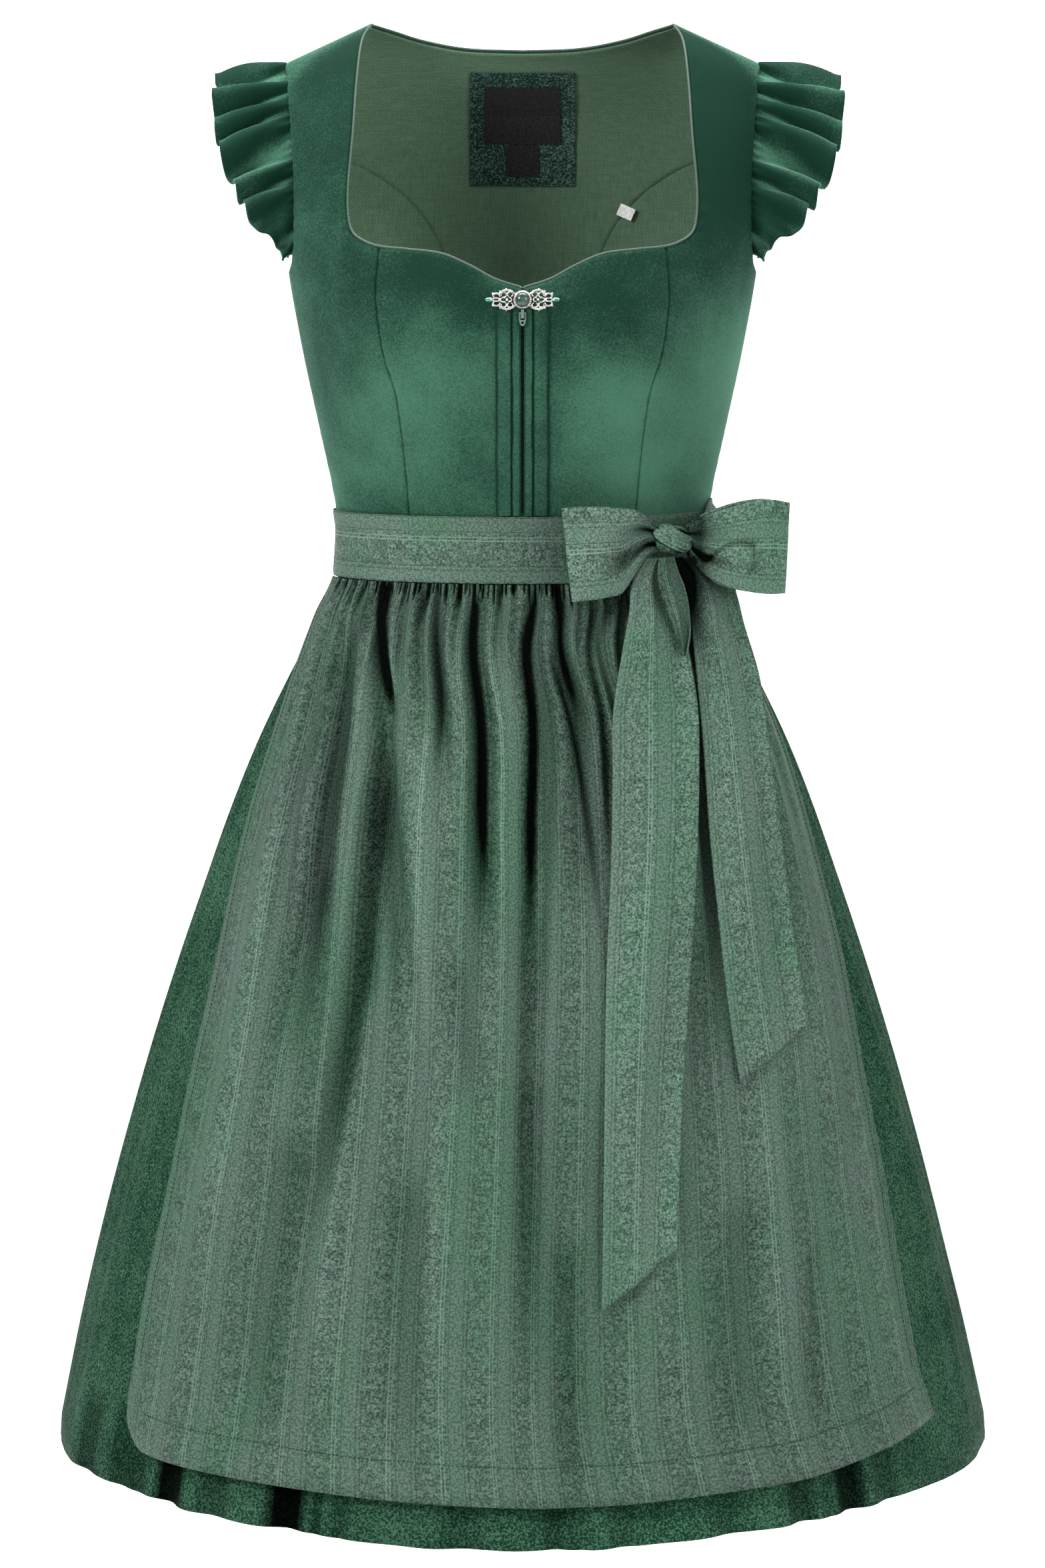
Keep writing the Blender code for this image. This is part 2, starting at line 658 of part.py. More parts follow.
def back_centre():
    """Turns and places between the two back seams and armholes, up to the neckline and shoulders."""
    places, across = edge_table(BACK_NECKLINE)
    shoulder = np.array([0.132, ARMHOLE[-1][1]])
    across = np.concatenate([across, shoulder])
    top = np.minimum(np.concatenate([places, [1.0, 1.0]]), SHOULDER_PLACE)
    share = turn_at(across, top) / (math.pi - back_centre_edge(top))
    share[-1] = 1.0
    share = np.concatenate([share[:0:-1], -share])
    top = np.concatenate([top[:0:-1], top])
    rows = np.concatenate([back_seam_rows(), BACK_SHOULDER_ROWS, [SHOULDER_PLACE]])
    place = rows[None, :] * (top / SHOULDER_PLACE)[:, None]
    edge = back_centre_edge(rows)[None, :]
    return math.pi - share[:, None] * (math.pi - edge), place


def back_side():
    """Turns and places between the side seam or armhole and the curved back seam."""
    rows = back_seam_rows()
    rows[-1] = (rows[-1] + rows[-2]) / 2
    near = math.pi - armhole_turn(rows) + TURN_GAP
    far = back_seam_turn(rows) - back_seam_gap(rows)
    share = np.linspace(0, 1, 4)[:, None]
    return near + (far - near) * share, rows[None, :] + share * 0


def make_bodice():
    lining = (VELVET + LINING_CLEAR, VELVET + LINING_CLEAR + LINING)
    for label, side in SIDES:
        wall(f"front_{label}", *front_centre(), 0, VELVET, "velvet", side)
        wall(f"side_front_{label}", *side_front(), 0, VELVET, "velvet", side, clear=-1)
        wall(f"back_side_{label}", *back_side(), 0, VELVET, "velvet", side, clear=1)
        wall(f"lining_side_{label}", *back_side(), *lining, "lining_cloth", side, clear=1)
    wall("back_centre", *back_centre(), 0, VELVET, "velvet", clear=1)
    wall("lining_centre", *back_centre(), *lining, "lining_cloth", clear=1)


# Neckline piping

def edge_line(table, back):
    """Points beside a neckline edge, in the middle of the wall's thickness and just clear of it."""
    place, across = edge_table(table)
    place = np.minimum(place, SHOULDER_PLACE)
    turn = turn_at(np.maximum(across, 0.0 if back else ZIP_HALF_GAP), place)
    if back:
        turn = math.pi - turn
    middle = behind_bodice(turn, place, VELVET / 2)
    along = np.gradient(middle, axis=0)
    if back:
        along[0] = (1.0, 0.0, 0.0)
    along /= np.linalg.norm(along, axis=1, keepdims=True)
    out = np.cross(bodice_normal(turn, place), along) * (-1.0 if back else 1.0)
    return middle + out * (PIPING_RADIUS + PIPING_CLEAR)


def make_piping():
    line = edge_line(NECKLINE, back=False)
    line[-1, 1] -= PIPING_RADIUS
    for label, side in SIDES:
        tube(f"piping_front_{label}", line * np.array([side, 1, 1]), PIPING_RADIUS, "piping_cloth")
    half = edge_line(BACK_NECKLINE, back=True)
    half[-1, 1] += PIPING_RADIUS
    line = np.concatenate([half[:0:-1] * np.array([-1, 1, 1]), half])
    tube("piping_back", line, PIPING_RADIUS, "piping_cloth")


# Centre front


def front_spot(across, height):
    """Turn and place of a grid of points on the bodice front."""
    across, height = np.broadcast_arrays(np.asarray(across, float), np.asarray(height, float))
    place = place_at(across.ravel(), height.ravel()).reshape(across.shape)
    return turn_at(across, place), place


def make_tucks():
    """Stitched tucks beside the zip, rounded over and lying on the front."""
    height = np.linspace(TUCK_FOOT, TUCK_TOP, 8)[None, :]
    share = np.linspace(0, 1, 5)[:, None]
    crown = 0.35 + 0.65 * np.sqrt(np.maximum(1 - (2 * share - 1) ** 2, 0))
    for label, side in SIDES:
        for name, near, far, thickness in TUCKS:
            spot = front_spot(near + (far - near) * share, height)
            top = -TUCK_CLEAR - thickness * crown + height * 0
            wall(f"tuck_{name}_{label}", *spot, top, top * 0 - TUCK_CLEAR, "velvet", side)


def centre_depth(height):
    return float(bodice(*front_spot(0.0, height))[1])


def make_zip():
    """Zip tape behind the gap, the slider in it and the pull tab that hangs in front."""
    across = np.linspace(-TAPE_HALF_WIDTH, TAPE_HALF_WIDTH, 3)[:, None]
    spot = front_spot(across, np.linspace(ZIP_FOOT, ZIP_TOP, 8)[None, :])
    wall("zip_tape", *spot, VELVET + TAPE_CLEAR, VELVET + TAPE_CLEAR + TAPE, "zip_tape")
    depth = centre_depth(PULL_HEIGHT)
    axis = depth - PULL_STAND
    slider = box(
        "zip_slider",
        (-0.0010, depth + VELVET + 0.0003, PULL_HEIGHT - 0.0035),
        (0.0010, axis - 0.0014, PULL_HEIGHT + 0.0022),
        "zip_lacquer",
    )
    bridge_hole = box(
        "slider_hole",
        (-0.003, axis - 0.0008, PULL_HEIGHT - 0.0009),
        (0.003, axis + 0.0009, PULL_HEIGHT + 0.0009),
        "zip_lacquer",
    )
    cut(slider, bridge_hole)
    make_pull(axis)


def make_pull(axis):
    """Pull tab: its top bar runs through the slider's bridge and is the axis it swings about."""
    half, thick = PULL_WIDTH / 2, PULL_THICKNESS / 2
    top, foot = 0.0005, -PULL_LENGTH
    outline = [(-half, top), (-half, foot * 0.55), (-half * 0.72, foot * 0.86), (-half * 0.3, foot)]
    outline += [(-x, z) for x, z in reversed(outline)]
    count = len(outline)
    points = [(x, -thick, z) for x, z in outline] + [(x, thick, z) for x, z in outline]
    faces = [tuple(range(count)), tuple(range(2 * count - 1, count - 1, -1))]
    for i in range(count):
        j = (i + 1) % count
        faces.append((i, i + count, j + count, j))
    pull = new_object("zip_pull", points, faces, "zip_lacquer", smooth_faces=False)
    recalculate(pull)
    pull.location = (0.0, axis, PULL_HEIGHT)
    for name, reach, high, low in (("pull_eye", 0.0014, 0.0005, 0.0046), ("pull_slot", 0.0008, 0.0056, 0.0070)):
        hole = box(
            name,
            (-reach, axis - 0.004, PULL_HEIGHT - high),
            (reach, axis + 0.004, PULL_HEIGHT - low),
            "zip_lacquer",
        )
        cut(pull, hole)


def recalculate(obj):
    """Points the faces of a closed mesh outwards."""
    work = bmesh.new()
    work.from_mesh(obj.data)
    bmesh.ops.recalc_face_normals(work, faces=work.faces)
    work.to_mesh(obj.data)
    work.free()


def combine(obj, other, operation):
    """Cuts the other mesh from an object or joins it, and leaves the other one out of the part."""
    other.hide_render = True
    other.display_type = "WIRE"
    recalculate(other)
    modifier = obj.modifiers.new(operation.lower(), "BOOLEAN")
    modifier.operation = operation
    modifier.object = other


def cut(obj, cutter):
    combine(obj, cutter, "DIFFERENCE")


def disc(name, outline, back, front, crown, material):
    """Low domed solid over a closed outline of (across, height) points, standing out towards the front."""
    outline = np.asarray(outline, float)
    count = len(outline)
    rings = ((1.0, back), (1.0, front), (0.6, front + crown * 0.8))
    points = []
    for scale, depth in rings:
        points += [(x * scale, -depth, z * scale) for x, z in outline]
    points += [(0.0, -back, 0.0), (0.0, -(front + crown), 0.0)]
    last = len(points)
    faces = []
    for i in range(count):
        j = (i + 1) % count
        faces.append((i, j, last - 2))
        for ring in range(len(rings) - 1):
            a, b = ring * count, (ring + 1) * count
            faces.append((a + j, a + i, b + i, b + j))
        top = (len(rings) - 1) * count
        faces.append((top + j, top + i, last - 1))
    obj = new_object(name, points, faces, material)
    recalculate(obj)
    return obj


def circle(radius, count):
    turn = np.linspace(0, 2 * math.pi, count, endpoint=False)
    return np.stack([np.cos(turn), np.sin(turn)], axis=1) * radius


def make_brooch():
    """Silver brooch: a back bar joins a round stone's bezel and two scrolled wings with pointed gems."""
    depth = centre_depth(BROOCH_HEIGHT) - BROOCH_STAND
    frame = box("brooch_frame", (-0.0190, -0.0012, -0.0022), (0.0190, 0.0, 0.0022), "silver")
    frame.location = (0.0, depth, BROOCH_HEIGHT)
    bezel = disc("bezel", circle(BEZEL_RADIUS, 16), 0.0004, 0.0030, 0.0002, "silver")
    bezel.location = frame.location
    combine(frame, bezel, "UNION")
    for label, side in SIDES:
        wing = disc(f"wing_{label}", wing_outline(), 0.0002, 0.0016, 0.0012, "silver")
        wing.location = (side * WING_CENTRE, depth, BROOCH_HEIGHT)
        combine(frame, wing, "UNION")
        gem = disc(f"brooch_gem_{label}", gem_outline(), 0.0, 0.0008, 0.0008, "green_stone")
        gem.location = (side * GEM_CENTRE, depth - 0.0006, BROOCH_HEIGHT)
    well = disc("bezel_well", circle(STONE_RADIUS + SEAM, 16), 0.0018, 0.0060, 0.0, "silver")
    well.location = frame.location
    cut(frame, well)
    stone = disc("brooch_stone", circle(STONE_RADIUS, 16), 0.0021, 0.0030, 0.0026, "green_stone")
    stone.location = frame.location


def wing_outline():
    """Four lobes about the wing's centre, which read as its scrolled edge."""
    turn = np.linspace(0, 2 * math.pi, 20, endpoint=False)
    reach = 1.0 + 0.12 * np.cos(4 * turn)
    return np.stack([0.0060 * reach * np.cos(turn), 0.0070 * reach * np.sin(turn)], axis=1)


def gem_outline():
    """Pointed oval."""
    turn = np.linspace(0, 2 * math.pi, 8, endpoint=False)
    return np.stack([0.0020 * np.cos(turn), 0.0012 * np.sin(turn)], axis=1)


# Sleeves


def armhole_line(place):
    """Points on the left armhole's edge, from under the arm in front (0) over the shoulder to the back (1)."""
    rise = np.linspace(0.535, 1.0, 120)
    turn = armhole_turn(rise)
    front = bodice(turn, rise)
    back = bodice(math.pi - turn, rise)
    line = np.concatenate([front, back[-2::-1]]) - np.array([VELVET / 2, 0.0, 0.0])
    length = np.concatenate([[0], np.cumsum(np.linalg.norm(np.diff(line, axis=0), axis=1))])
    return np.stack([np.interp(place * length[-1], length, line[:, k]) for k in range(3)], axis=1)


def ruffle_grid(columns, rows, waves):
    """Strip gathered to the armhole: it runs outwards and droops, and its waves grow to the free edge."""
    even = np.linspace(0, 1, columns)
    place = even + 0.007 * np.sin(2 * math.pi * 3 * even) + 0.004 * np.sin(2 * math.pi * 5 * even)
    root = armhole_line(place)
    width = column(RUFFLE, "width", place)[:, None]
    droop = np.radians(column(RUFFLE, "droop_deg", place))
    lean = column(RUFFLE, "lean", place)
    out = np.stack([np.cos(droop), lean, -np.sin(droop)], axis=1)
    out /= np.linalg.norm(out, axis=1, keepdims=True)
    along = np.gradient(root, place, axis=0)
    face = np.cross(along, out)
    face /= np.linalg.norm(face, axis=1, keepdims=True)
    share = rows[None, :]
    curve = 0.10 * share**2 * width
    wave = ruffle_wave(even, waves)[:, None] * (0.0008 + 0.0085 * share) * (width / 0.049) ** 0.8
    run = RUFFLE_ROOT + share * width
    points = root[:, None, :] + out[:, None, :] * run[..., None]
    points = points + face[:, None, :] * wave[..., None]
    points[..., 2] -= curve
    return points


def ruffle_wave(even, waves):
    """Waves of uneven height, evenly spaced along the ruffle's own columns."""
    size = 1.0 + 0.25 * np.sin(2 * math.pi * 4.3 * even + 1.0)
    return size * np.sin(2 * math.pi * waves * even)


def mirrored(points, side):
    """A grid made for the wearer's left, put on the given side with its normals still outward."""
    if side > 0:
        return points
    return (points * np.array([-1.0, 1.0, 1.0]))[::-1]


def make_sleeves():
    for label, side in SIDES:
        grid = ruffle_grid(RUFFLE_WAVES * 5 + 1, np.array([0, 0.3, 0.65, 1.0]), RUFFLE_WAVES)
        cloth(f"sleeve_{label}", mirrored(grid[:, ::-1], side), VELVET, "velvet", outside=0.5)


# Skirt


def skirt_place(height):
    rows = sorted(SKIRT, key=lambda row: row.height)
    return np.interp(height, [r.height for r in rows], [r.place for r in rows])


def out_of_ring(turn, place):
    """Level direction that leaves a skirt ring squarely."""
    small = 1e-3
    along = ring_point(SKIRT, turn + small, place) - ring_point(SKIRT, turn - small, place)
    along[..., 2] = 0.0
    along /= np.linalg.norm(along, axis=-1, keepdims=True)
    return np.stack([along[..., 1], -along[..., 0], along[..., 2]], axis=-1)


def skirt_fold(turn):
    """0 on the ridges of the skirt's folds and 1 in their troughs, unevenly spaced and deep."""
    uneven = 0.30 * np.sin(3 * turn + 0.8) + 0.22 * np.sin(7 * turn + 2.1)
    depth = 0.80 + 0.20 * np.sin(5 * turn + 0.4)
    return depth * (0.5 - 0.5 * np.cos(SKIRT_FOLDS * turn + uneven * 2.0))


def skirt_grid(first, last, columns, places):
    turn = np.linspace(first, last, columns)[:, None] + places[None, :] * 0
    place = places[None, :] + turn * 0
    depth = column(SKIRT_DEPTH, "depth", place)
    fade = 1.0 - 0.55 * ease((np.radians(60) - np.abs(wrap(turn))) / np.radians(15)) * ease((0.9 - place) / 0.5)
    inward = depth * fade * skirt_fold(turn)
    return ring_point(SKIRT, turn, place) - out_of_ring(turn, place) * inward[..., None]


def wrap(turn):
    return (turn + math.pi) % (2 * math.pi) - math.pi


def make_skirt():
    front, back = (math.radians(angle) for angle in SKIRT_SEAMS_DEG)
    panels = (
        ("skirt_front", -front, front),
        ("skirt_left", front, back),
        ("skirt_back", back, 2 * math.pi - back),
        ("skirt_right", 2 * math.pi - back, 2 * math.pi - front),
    )
    for name, first, last in panels:
        columns = int(round((last - first) / (2 * math.pi) * SKIRT_FOLDS * 4)) + 1
        grid = skirt_grid(first + SKIRT_GAP, last - SKIRT_GAP, columns, SKIRT_PLACES)
        cloth(name, grid[:, ::-1], SKIRT_CLOTH, "skirt_cloth")


# Apron


def apron_relief(across, height):
    """Share of the reach at which the apron stands: 1 on a ridge, near 0 in a deep fold."""
    relief = np.ones(np.broadcast(across, height).shape)
    for fold in APRON_FOLDS:
        down = np.clip((BAND_FOOT - height) / (BAND_FOOT - APRON_HEM), 0, 1)
        centre = fold.top + (fold.foot - fold.top) * ease(down * 1.6)
        started = 1.0 if fold.start > BAND_FOOT else ease((fold.start - height) / 0.12)
        length = BAND_FOOT - fold.end
        fading = ease((height - fold.end) / (length * 0.75))
        spread = fold.half_width * (1.0 + 0.8 * down)
        away = (across - centre) / spread
        relief = relief - fold.depth * started * fading * np.exp(-(away**2))
    return np.clip(relief, 0.03, 1.0)


def apron_turn(across, height):
    right = np.radians(column(APRON, "right_deg", height))
    left = np.radians(column(APRON, "left_deg", height))
    return right + (left - right) * across


def apron_reach(across, height):
    """How far the apron's ridges stand out; near its side edges it lies flat on the skirt."""
    flat = 0.25 + 0.75 * ease(np.minimum(across, 1 - across) / 0.10)
    return column(APRON, "reach", height) * flat


def on_apron(across, height, out):
    """Point in front of the skirt's ridges by a distance."""
    place = skirt_place(height)
    turn = apron_turn(across, height)
    return ring_point(SKIRT, turn, place) + out_of_ring(turn, place) * np.asarray(out)[..., None]


def apron_outer(across, height):
    across, height = np.broadcast_arrays(across, height)
    relief = apron_relief(across, height) * apron_reach(across, height)
    return on_apron(across, height, relief + APRON_CLEAR + APRON_CLOTH)


def apron_columns():
    """Places across that follow every fold of the table: its middle, the ridges, a deep fold's flanks."""
    folds = sorted((fold for fold in APRON_FOLDS if fold.start > BAND_FOOT), key=lambda fold: fold.top)
    tops = [fold.top for fold in folds]
    found = {*APRON_CORNER_COLUMNS, *tops, *((a + b) / 2 for a, b in zip([0.0, *tops], [*tops, 1.0]))}
    for fold in folds:
        if fold.depth > 0.95:
            found |= {fold.top - 0.6 * fold.half_width, fold.top + 0.6 * fold.half_width}
    return np.array(sorted(found))


def hem_rise(across):
    """How far the apron's hem rises: a little towards both sides, and a rounded corner at the right."""
    swing = APRON_HEM_SWING * (2 * across - 1.04) ** 2
    corner = 1 - np.sqrt(np.clip(1 - (np.clip(APRON_ROUND - across, 0, None) / APRON_ROUND) ** 2, 0, 1))
    square = 0.5 * ease((across - 0.985) / 0.015)
    return swing + APRON_ROUND_RISE * corner + 0.006 * square


def make_apron():
    across = apron_columns()[:, None]
    share = np.array([0, 0.022, 0.065, 0.13, 0.24, 0.40, 0.66, 1.0])[None, :]
    down = BAND_FOOT - 0.0004 - APRON_HEM - hem_rise(across)
    height = BAND_FOOT - 0.0004 - share * down
    grid = apron_outer(across + share * 0, height)
    cloth("apron", grid[:, ::-1], APRON_CLOTH, "apron_cloth")


# Apron band, ties and bow


def band_point(turn, height, out):
    """Point outside the waist, on bodice or skirt, whichever is there."""
    turn, height = np.broadcast_arrays(np.asarray(turn, float), np.asarray(height, float))
    on_skirt = ring_point(SKIRT, turn, skirt_place(np.minimum(height, WAIST)))
    place = np.interp(height, [row.height for row in BODICE[:8]], [row.place for row in BODICE[:8]])
    on_bodice = ring_point(BODICE, turn, place)
    base = np.where((height < WAIST)[..., None], on_skirt, on_bodice)
    base[..., 2] = height
    place = np.zeros_like(turn)
    return base + out_of_ring(turn, place) * np.asarray(out)[..., None]


def band_grid(first, last, columns):
    turn = np.linspace(first, last, columns)[:, None]
    height = np.array([BAND_FOOT, WAIST, BAND_TOP])[None, :]
    turn, height = turn + height * 0, height + turn * 0
    return band_point(turn, height, np.full(turn.shape, BAND_OUT))


def make_band():
    side = math.radians(BAND_END_DEG)
    grid = band_grid(-side + BAND_GAP, side - BAND_GAP, 23)
    cloth("apron_band", grid, APRON_CLOTH, "apron_cloth")
    grid = band_grid(side + BAND_GAP, 2 * math.pi - side - BAND_GAP, 23)
    cloth("tie_back", grid, APRON_CLOTH, "apron_cloth")
    make_tie_front()


def make_tie_front():
    """End of the tie that comes round the wearer's left side, over the band and up to the back of the knot."""
    share = np.linspace(0, 1, 9)[:, None]
    level = np.linspace(-1, 1, 5)[None, :]
    turn = np.radians(48 + 42 * share)
    half = 0.0080 + 0.0110 * ease(share * 1.2)
    height = -0.3445 + 0.0030 * share + half * level
    ripple = 0.0012 * np.cos(level * math.pi * 1.5) ** 2 * share
    rise_to_knot = 0.0087 * (1 - share) ** 1.6
    out = BAND_OUT + 0.0010 + APRON_CLOTH + ripple + rise_to_knot
    grid = band_point(turn + height * 0, height, out)
    cloth("tie_front", grid, APRON_CLOTH, "apron_cloth")


def loop_grid(table, end, side):
    """A bow loop: the tie runs out from the knot in front, turns round at the end and comes back behind."""
    along = np.linspace(0, 1, 15)[:, None]
    level = np.linspace(-1, 1, 6)[None, :]
    start = KNOT + np.array([side * (KNOT_HALF[0] + 0.0012), 0.0, 0.0])
    axis = np.asarray(end) - start
    out = np.sin(math.pi * along) ** 0.8
    top, foot = column(table, "top", out), column(table, "foot", out)
    forward = np.cross(axis / np.linalg.norm(axis), [0, 0, side])
    pleats = 0.0011 * np.cos(level * math.pi * 2.5) * (1 - ease(out * 2.2))
    depth = column(table, "open", out) * np.cos(math.pi * along) + pleats
    height = (top + foot) / 2 + (top - foot) / 2 * level
    centre = start + axis * out[..., None] + forward * depth[..., None]
    return centre + np.array([0, 0, 1.0]) * height[..., None]


def make_bow():
    loops = (("right", LOOP_RIGHT, LOOP_RIGHT_END, -1.0), ("left", LOOP_LEFT, LOOP_LEFT_END, 1.0))
    for label, table, end, side in loops:
        grid = loop_grid(table, end, side)
        cloth(f"bow_loop_{label}", grid, APRON_CLOTH, "apron_cloth", outside=0.5)
    make_knot()
    make_tails()


def make_knot():
    """Wrapped knot: a rounded block with slanting wraps."""
    turns, rows = 16, 8
    points = []
    for j in range(1, rows):
        polar = math.pi * j / rows
        for i in range(turns):
            turn = 2 * math.pi * i / turns
            swell = 0.96 + 0.04 * math.cos(3 * turn + 2.2 * polar)
            direction = np.array(
                [math.sin(polar) * math.cos(turn), math.sin(polar) * math.sin(turn), math.cos(polar)]
            )
            square = np.sum(np.abs(direction) ** 3) ** (-1 / 3)
            points.append(KNOT + KNOT_HALF * direction * square * swell)
    top, foot = len(points), len(points) + 1
    points += [KNOT + KNOT_HALF * (0, 0, 1), KNOT - KNOT_HALF * (0, 0, 1)]
    faces = []
    for i in range(turns):
        j = (i + 1) % turns
        faces.append((top, i, j))
        last = (rows - 2) * turns
        faces.append((foot, last + j, last + i))
        for row in range(rows - 2):
            a, b = row * turns, (row + 1) * turns
            faces.append((a + i, b + i, b + j, a + j))
    knot = new_object("bow_knot", points, faces, "apron_cloth")
    recalculate(knot)


def envelope_turn(across, height):
    """Turn at which the skirt ring at a height is this far from the centre."""
    place = skirt_place(height)
    share = np.clip(np.abs(across) / column(SKIRT, "half_width", place), 0, 1)
    return np.arcsin(share ** (column(SKIRT, "square", place) / 2.0)) * np.sign(across)


def tail_grid(table, level, share, cut_drop, waist_lift):
    """Tie end that hangs over the apron, cut on a slant at its foot."""
    top, foot = table[0].height, table[-1].height
    height = top + (foot - top) * share[None, :]
    middle, half, out = (column(table, field, height) for field in ("middle", "half", "out"))
    across = middle + half * level[:, None]
    height = height - cut_drop * (0.5 - 0.5 * level[:, None]) * ease((share[None, :] - 0.70) / 0.30)
    below_band = np.minimum(height, BAND_FOOT - 0.0007)
    lift = waist_lift * ease((height + 0.47) / 0.11)
    wave = TAIL_WAVE * (1 + np.cos(level[:, None] * 4.2 + 0.8))
    away = column(APRON, "reach", below_band) + APRON_CLEAR + 2 * APRON_CLOTH + out + lift + wave
    place = skirt_place(np.minimum(height, WAIST))
    turn = envelope_turn(across, below_band)
    for _ in range(4):
        outward = out_of_ring(turn, place) * away[..., None]
        turn = envelope_turn(across - outward[..., 0], below_band)
    point = ring_point(SKIRT, turn, place) + outward
    point[..., 2] = height
    return point


def make_tails():
    tails = (
        ("long", LONG_TAIL, TAIL_SHARES, LONG_CUT, 0.0060),
        ("short", SHORT_TAIL, TAIL_SHARES, SHORT_CUT, 0.0010),
        ("fold", FOLD_LEAF, np.linspace(0, 1, 6), 0.0, 0.0060),
    )
    for label, table, shares, cut_drop, waist_lift in tails:
        grid = tail_grid(table, TAIL_LEVELS, shares, cut_drop, waist_lift)
        cloth(f"bow_tail_{label}", grid[:, ::-1], APRON_CLOTH, "apron_cloth")


# Labels inside the back

def lining_surface():
    """The lining's triangles, to find points that lie on it."""
    corners, triangles = [], []
    for name in ("lining_centre", "lining_side_left"):
        mesh = bpy.data.objects[name].data
        mesh.calc_loop_triangles()
        first = len(corners)
        corners += [vertex.co.copy() for vertex in mesh.vertices]
        triangles += [tuple(first + k for k in triangle.vertices) for triangle in mesh.loop_triangles]
    return BVHTree.FromPolygons(corners, triangles)


def on_lining(surface, across, height):
    """Points of a grid on the lining's inner face."""
    across, height = np.broadcast_arrays(across, height)
    points = np.empty((*across.shape, 3))
    for index in np.ndindex(across.shape):
        inside = (across[index], 0.0, height[index])
        hit = surface.ray_cast(inside, (0.0, 1.0, 0.0))[0]
        if hit is None:  # over a seam's gap
            hit = surface.find_nearest((inside[0], LINING_DEPTH, inside[2]))[0]
        points[index] = (inside[0], hit[1], inside[2])
    return points


def layer(name, points, near, far, material):
    """Flat piece inside the back, from near to far in front of points on the lining."""
    forward = np.array([0.0, -1.0, 0.0])
    slab(name, points + forward * near, points + forward * far, material)


def make_labels():
    surface = lining_surface()
    widths = np.array([*PATCH_HALF_WIDTHS, 0.0, *(-w for w in PATCH_HALF_WIDTHS[::-1])])
    patch = on_lining(surface, widths[:, None], np.array(PATCH_HEIGHTS)[None, :])
    near = LABEL_CLEAR
    layer("label_patch", patch, near, near + PATCH, "skirt_cloth")
    near += PATCH + LABEL_CLEAR
    for label in LABELS:
        points = patch[label.inset : len(widths) - label.inset, label.first : label.last]
        layer(label.name, points, near, near + LABEL, "label_cloth")
    make_size_tag(surface)


def make_size_tag(surface):
    """Small tag caught in the lining's seam at one corner, leaning into the hollow."""
    out, down = np.linspace(1, 0, 4)[:, None], np.linspace(1, 0, 3)[None, :]
    across = TAG_CORNER[0] + out * TAG_LENGTH * math.cos(TAG_SLANT) - down * TAG_WIDTH * math.sin(TAG_SLANT)
    height = TAG_CORNER[1] - out * TAG_LENGTH * math.sin(TAG_SLANT) - down * TAG_WIDTH * math.cos(TAG_SLANT)
    points = on_lining(surface, across, height)
    near = (LABEL_CLEAR + TAG_LIFT * out + down * 0)[..., None]
    layer("size_tag", points, near, near + LABEL, "tag_cloth")


def main():
    clear_scene()
    make_materials()
    make_bodice()
    make_piping()
    make_tucks()
    make_zip()
    make_brooch()
    make_sleeves()
    make_skirt()
    make_apron()
    make_band()
    make_bow()
    make_labels()


main()
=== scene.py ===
"""Looks of a knee-length dirndl with its apron and bow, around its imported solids. Sizes are in metres.

+X is the wearer's left, -Y the front and +Z up, and the origin is midway between the shoulders.
Each cloth piece is a grid of points, worked out from the rings, seams and folds that its solid has too,
with finer waves, rolled edges and gathers. A Solidify modifier gives it its thickness.
"""

from collections import namedtuple
import math

import bmesh
import bpy
import numpy as np
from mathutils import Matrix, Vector


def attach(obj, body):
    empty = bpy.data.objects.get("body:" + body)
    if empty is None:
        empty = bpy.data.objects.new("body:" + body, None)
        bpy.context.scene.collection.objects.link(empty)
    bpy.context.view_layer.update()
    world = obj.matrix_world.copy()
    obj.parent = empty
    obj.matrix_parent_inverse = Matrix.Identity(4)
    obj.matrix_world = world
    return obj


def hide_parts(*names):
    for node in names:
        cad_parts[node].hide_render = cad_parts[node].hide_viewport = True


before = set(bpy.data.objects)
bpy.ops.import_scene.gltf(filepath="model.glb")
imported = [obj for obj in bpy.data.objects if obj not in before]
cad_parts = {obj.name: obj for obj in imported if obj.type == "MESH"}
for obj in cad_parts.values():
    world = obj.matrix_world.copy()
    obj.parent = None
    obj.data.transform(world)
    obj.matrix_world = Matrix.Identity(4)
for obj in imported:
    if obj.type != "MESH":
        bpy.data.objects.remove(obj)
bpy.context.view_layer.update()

# Thickness of each cloth
VELVET = 0.0015
TUCK_CLOTH = 0.0009
SKIRT_CLOTH = 0.0014
APRON_CLOTH = 0.0012
LINING = 0.0010

LINING_CLEAR = 0.0008  # room between velvet and lining
TURN_GAP = 0.0001  # from a seam to the edge of each of its panels, as a turn
SHOULDER_PLACE = 0.9999  # just short of the shoulder line, where front and back meet
CLEAR_OF_MIDDLE = 0.00003  # from the plane between front and back to the panels on both sides of it
SIDES = (("left", 1.0), ("right", -1.0))
LOOKS = {}  # the materials made here, by name


def rows_of(kind, *rows):
    """A table's rows, with their columns named."""
    return tuple(kind(*row) for row in rows)


# Heights, measured from the shoulders
WAIST = -0.3400
HEM = -0.9770
BAND_TOP = -0.3280
BAND_FOOT = -0.3730
APRON_HEM = -0.9480

NECK_POINT = 0.1030  # where neckline and shoulder meet, from the centre
SHOULDER_FALL = 0.46  # drop for each metre outwards

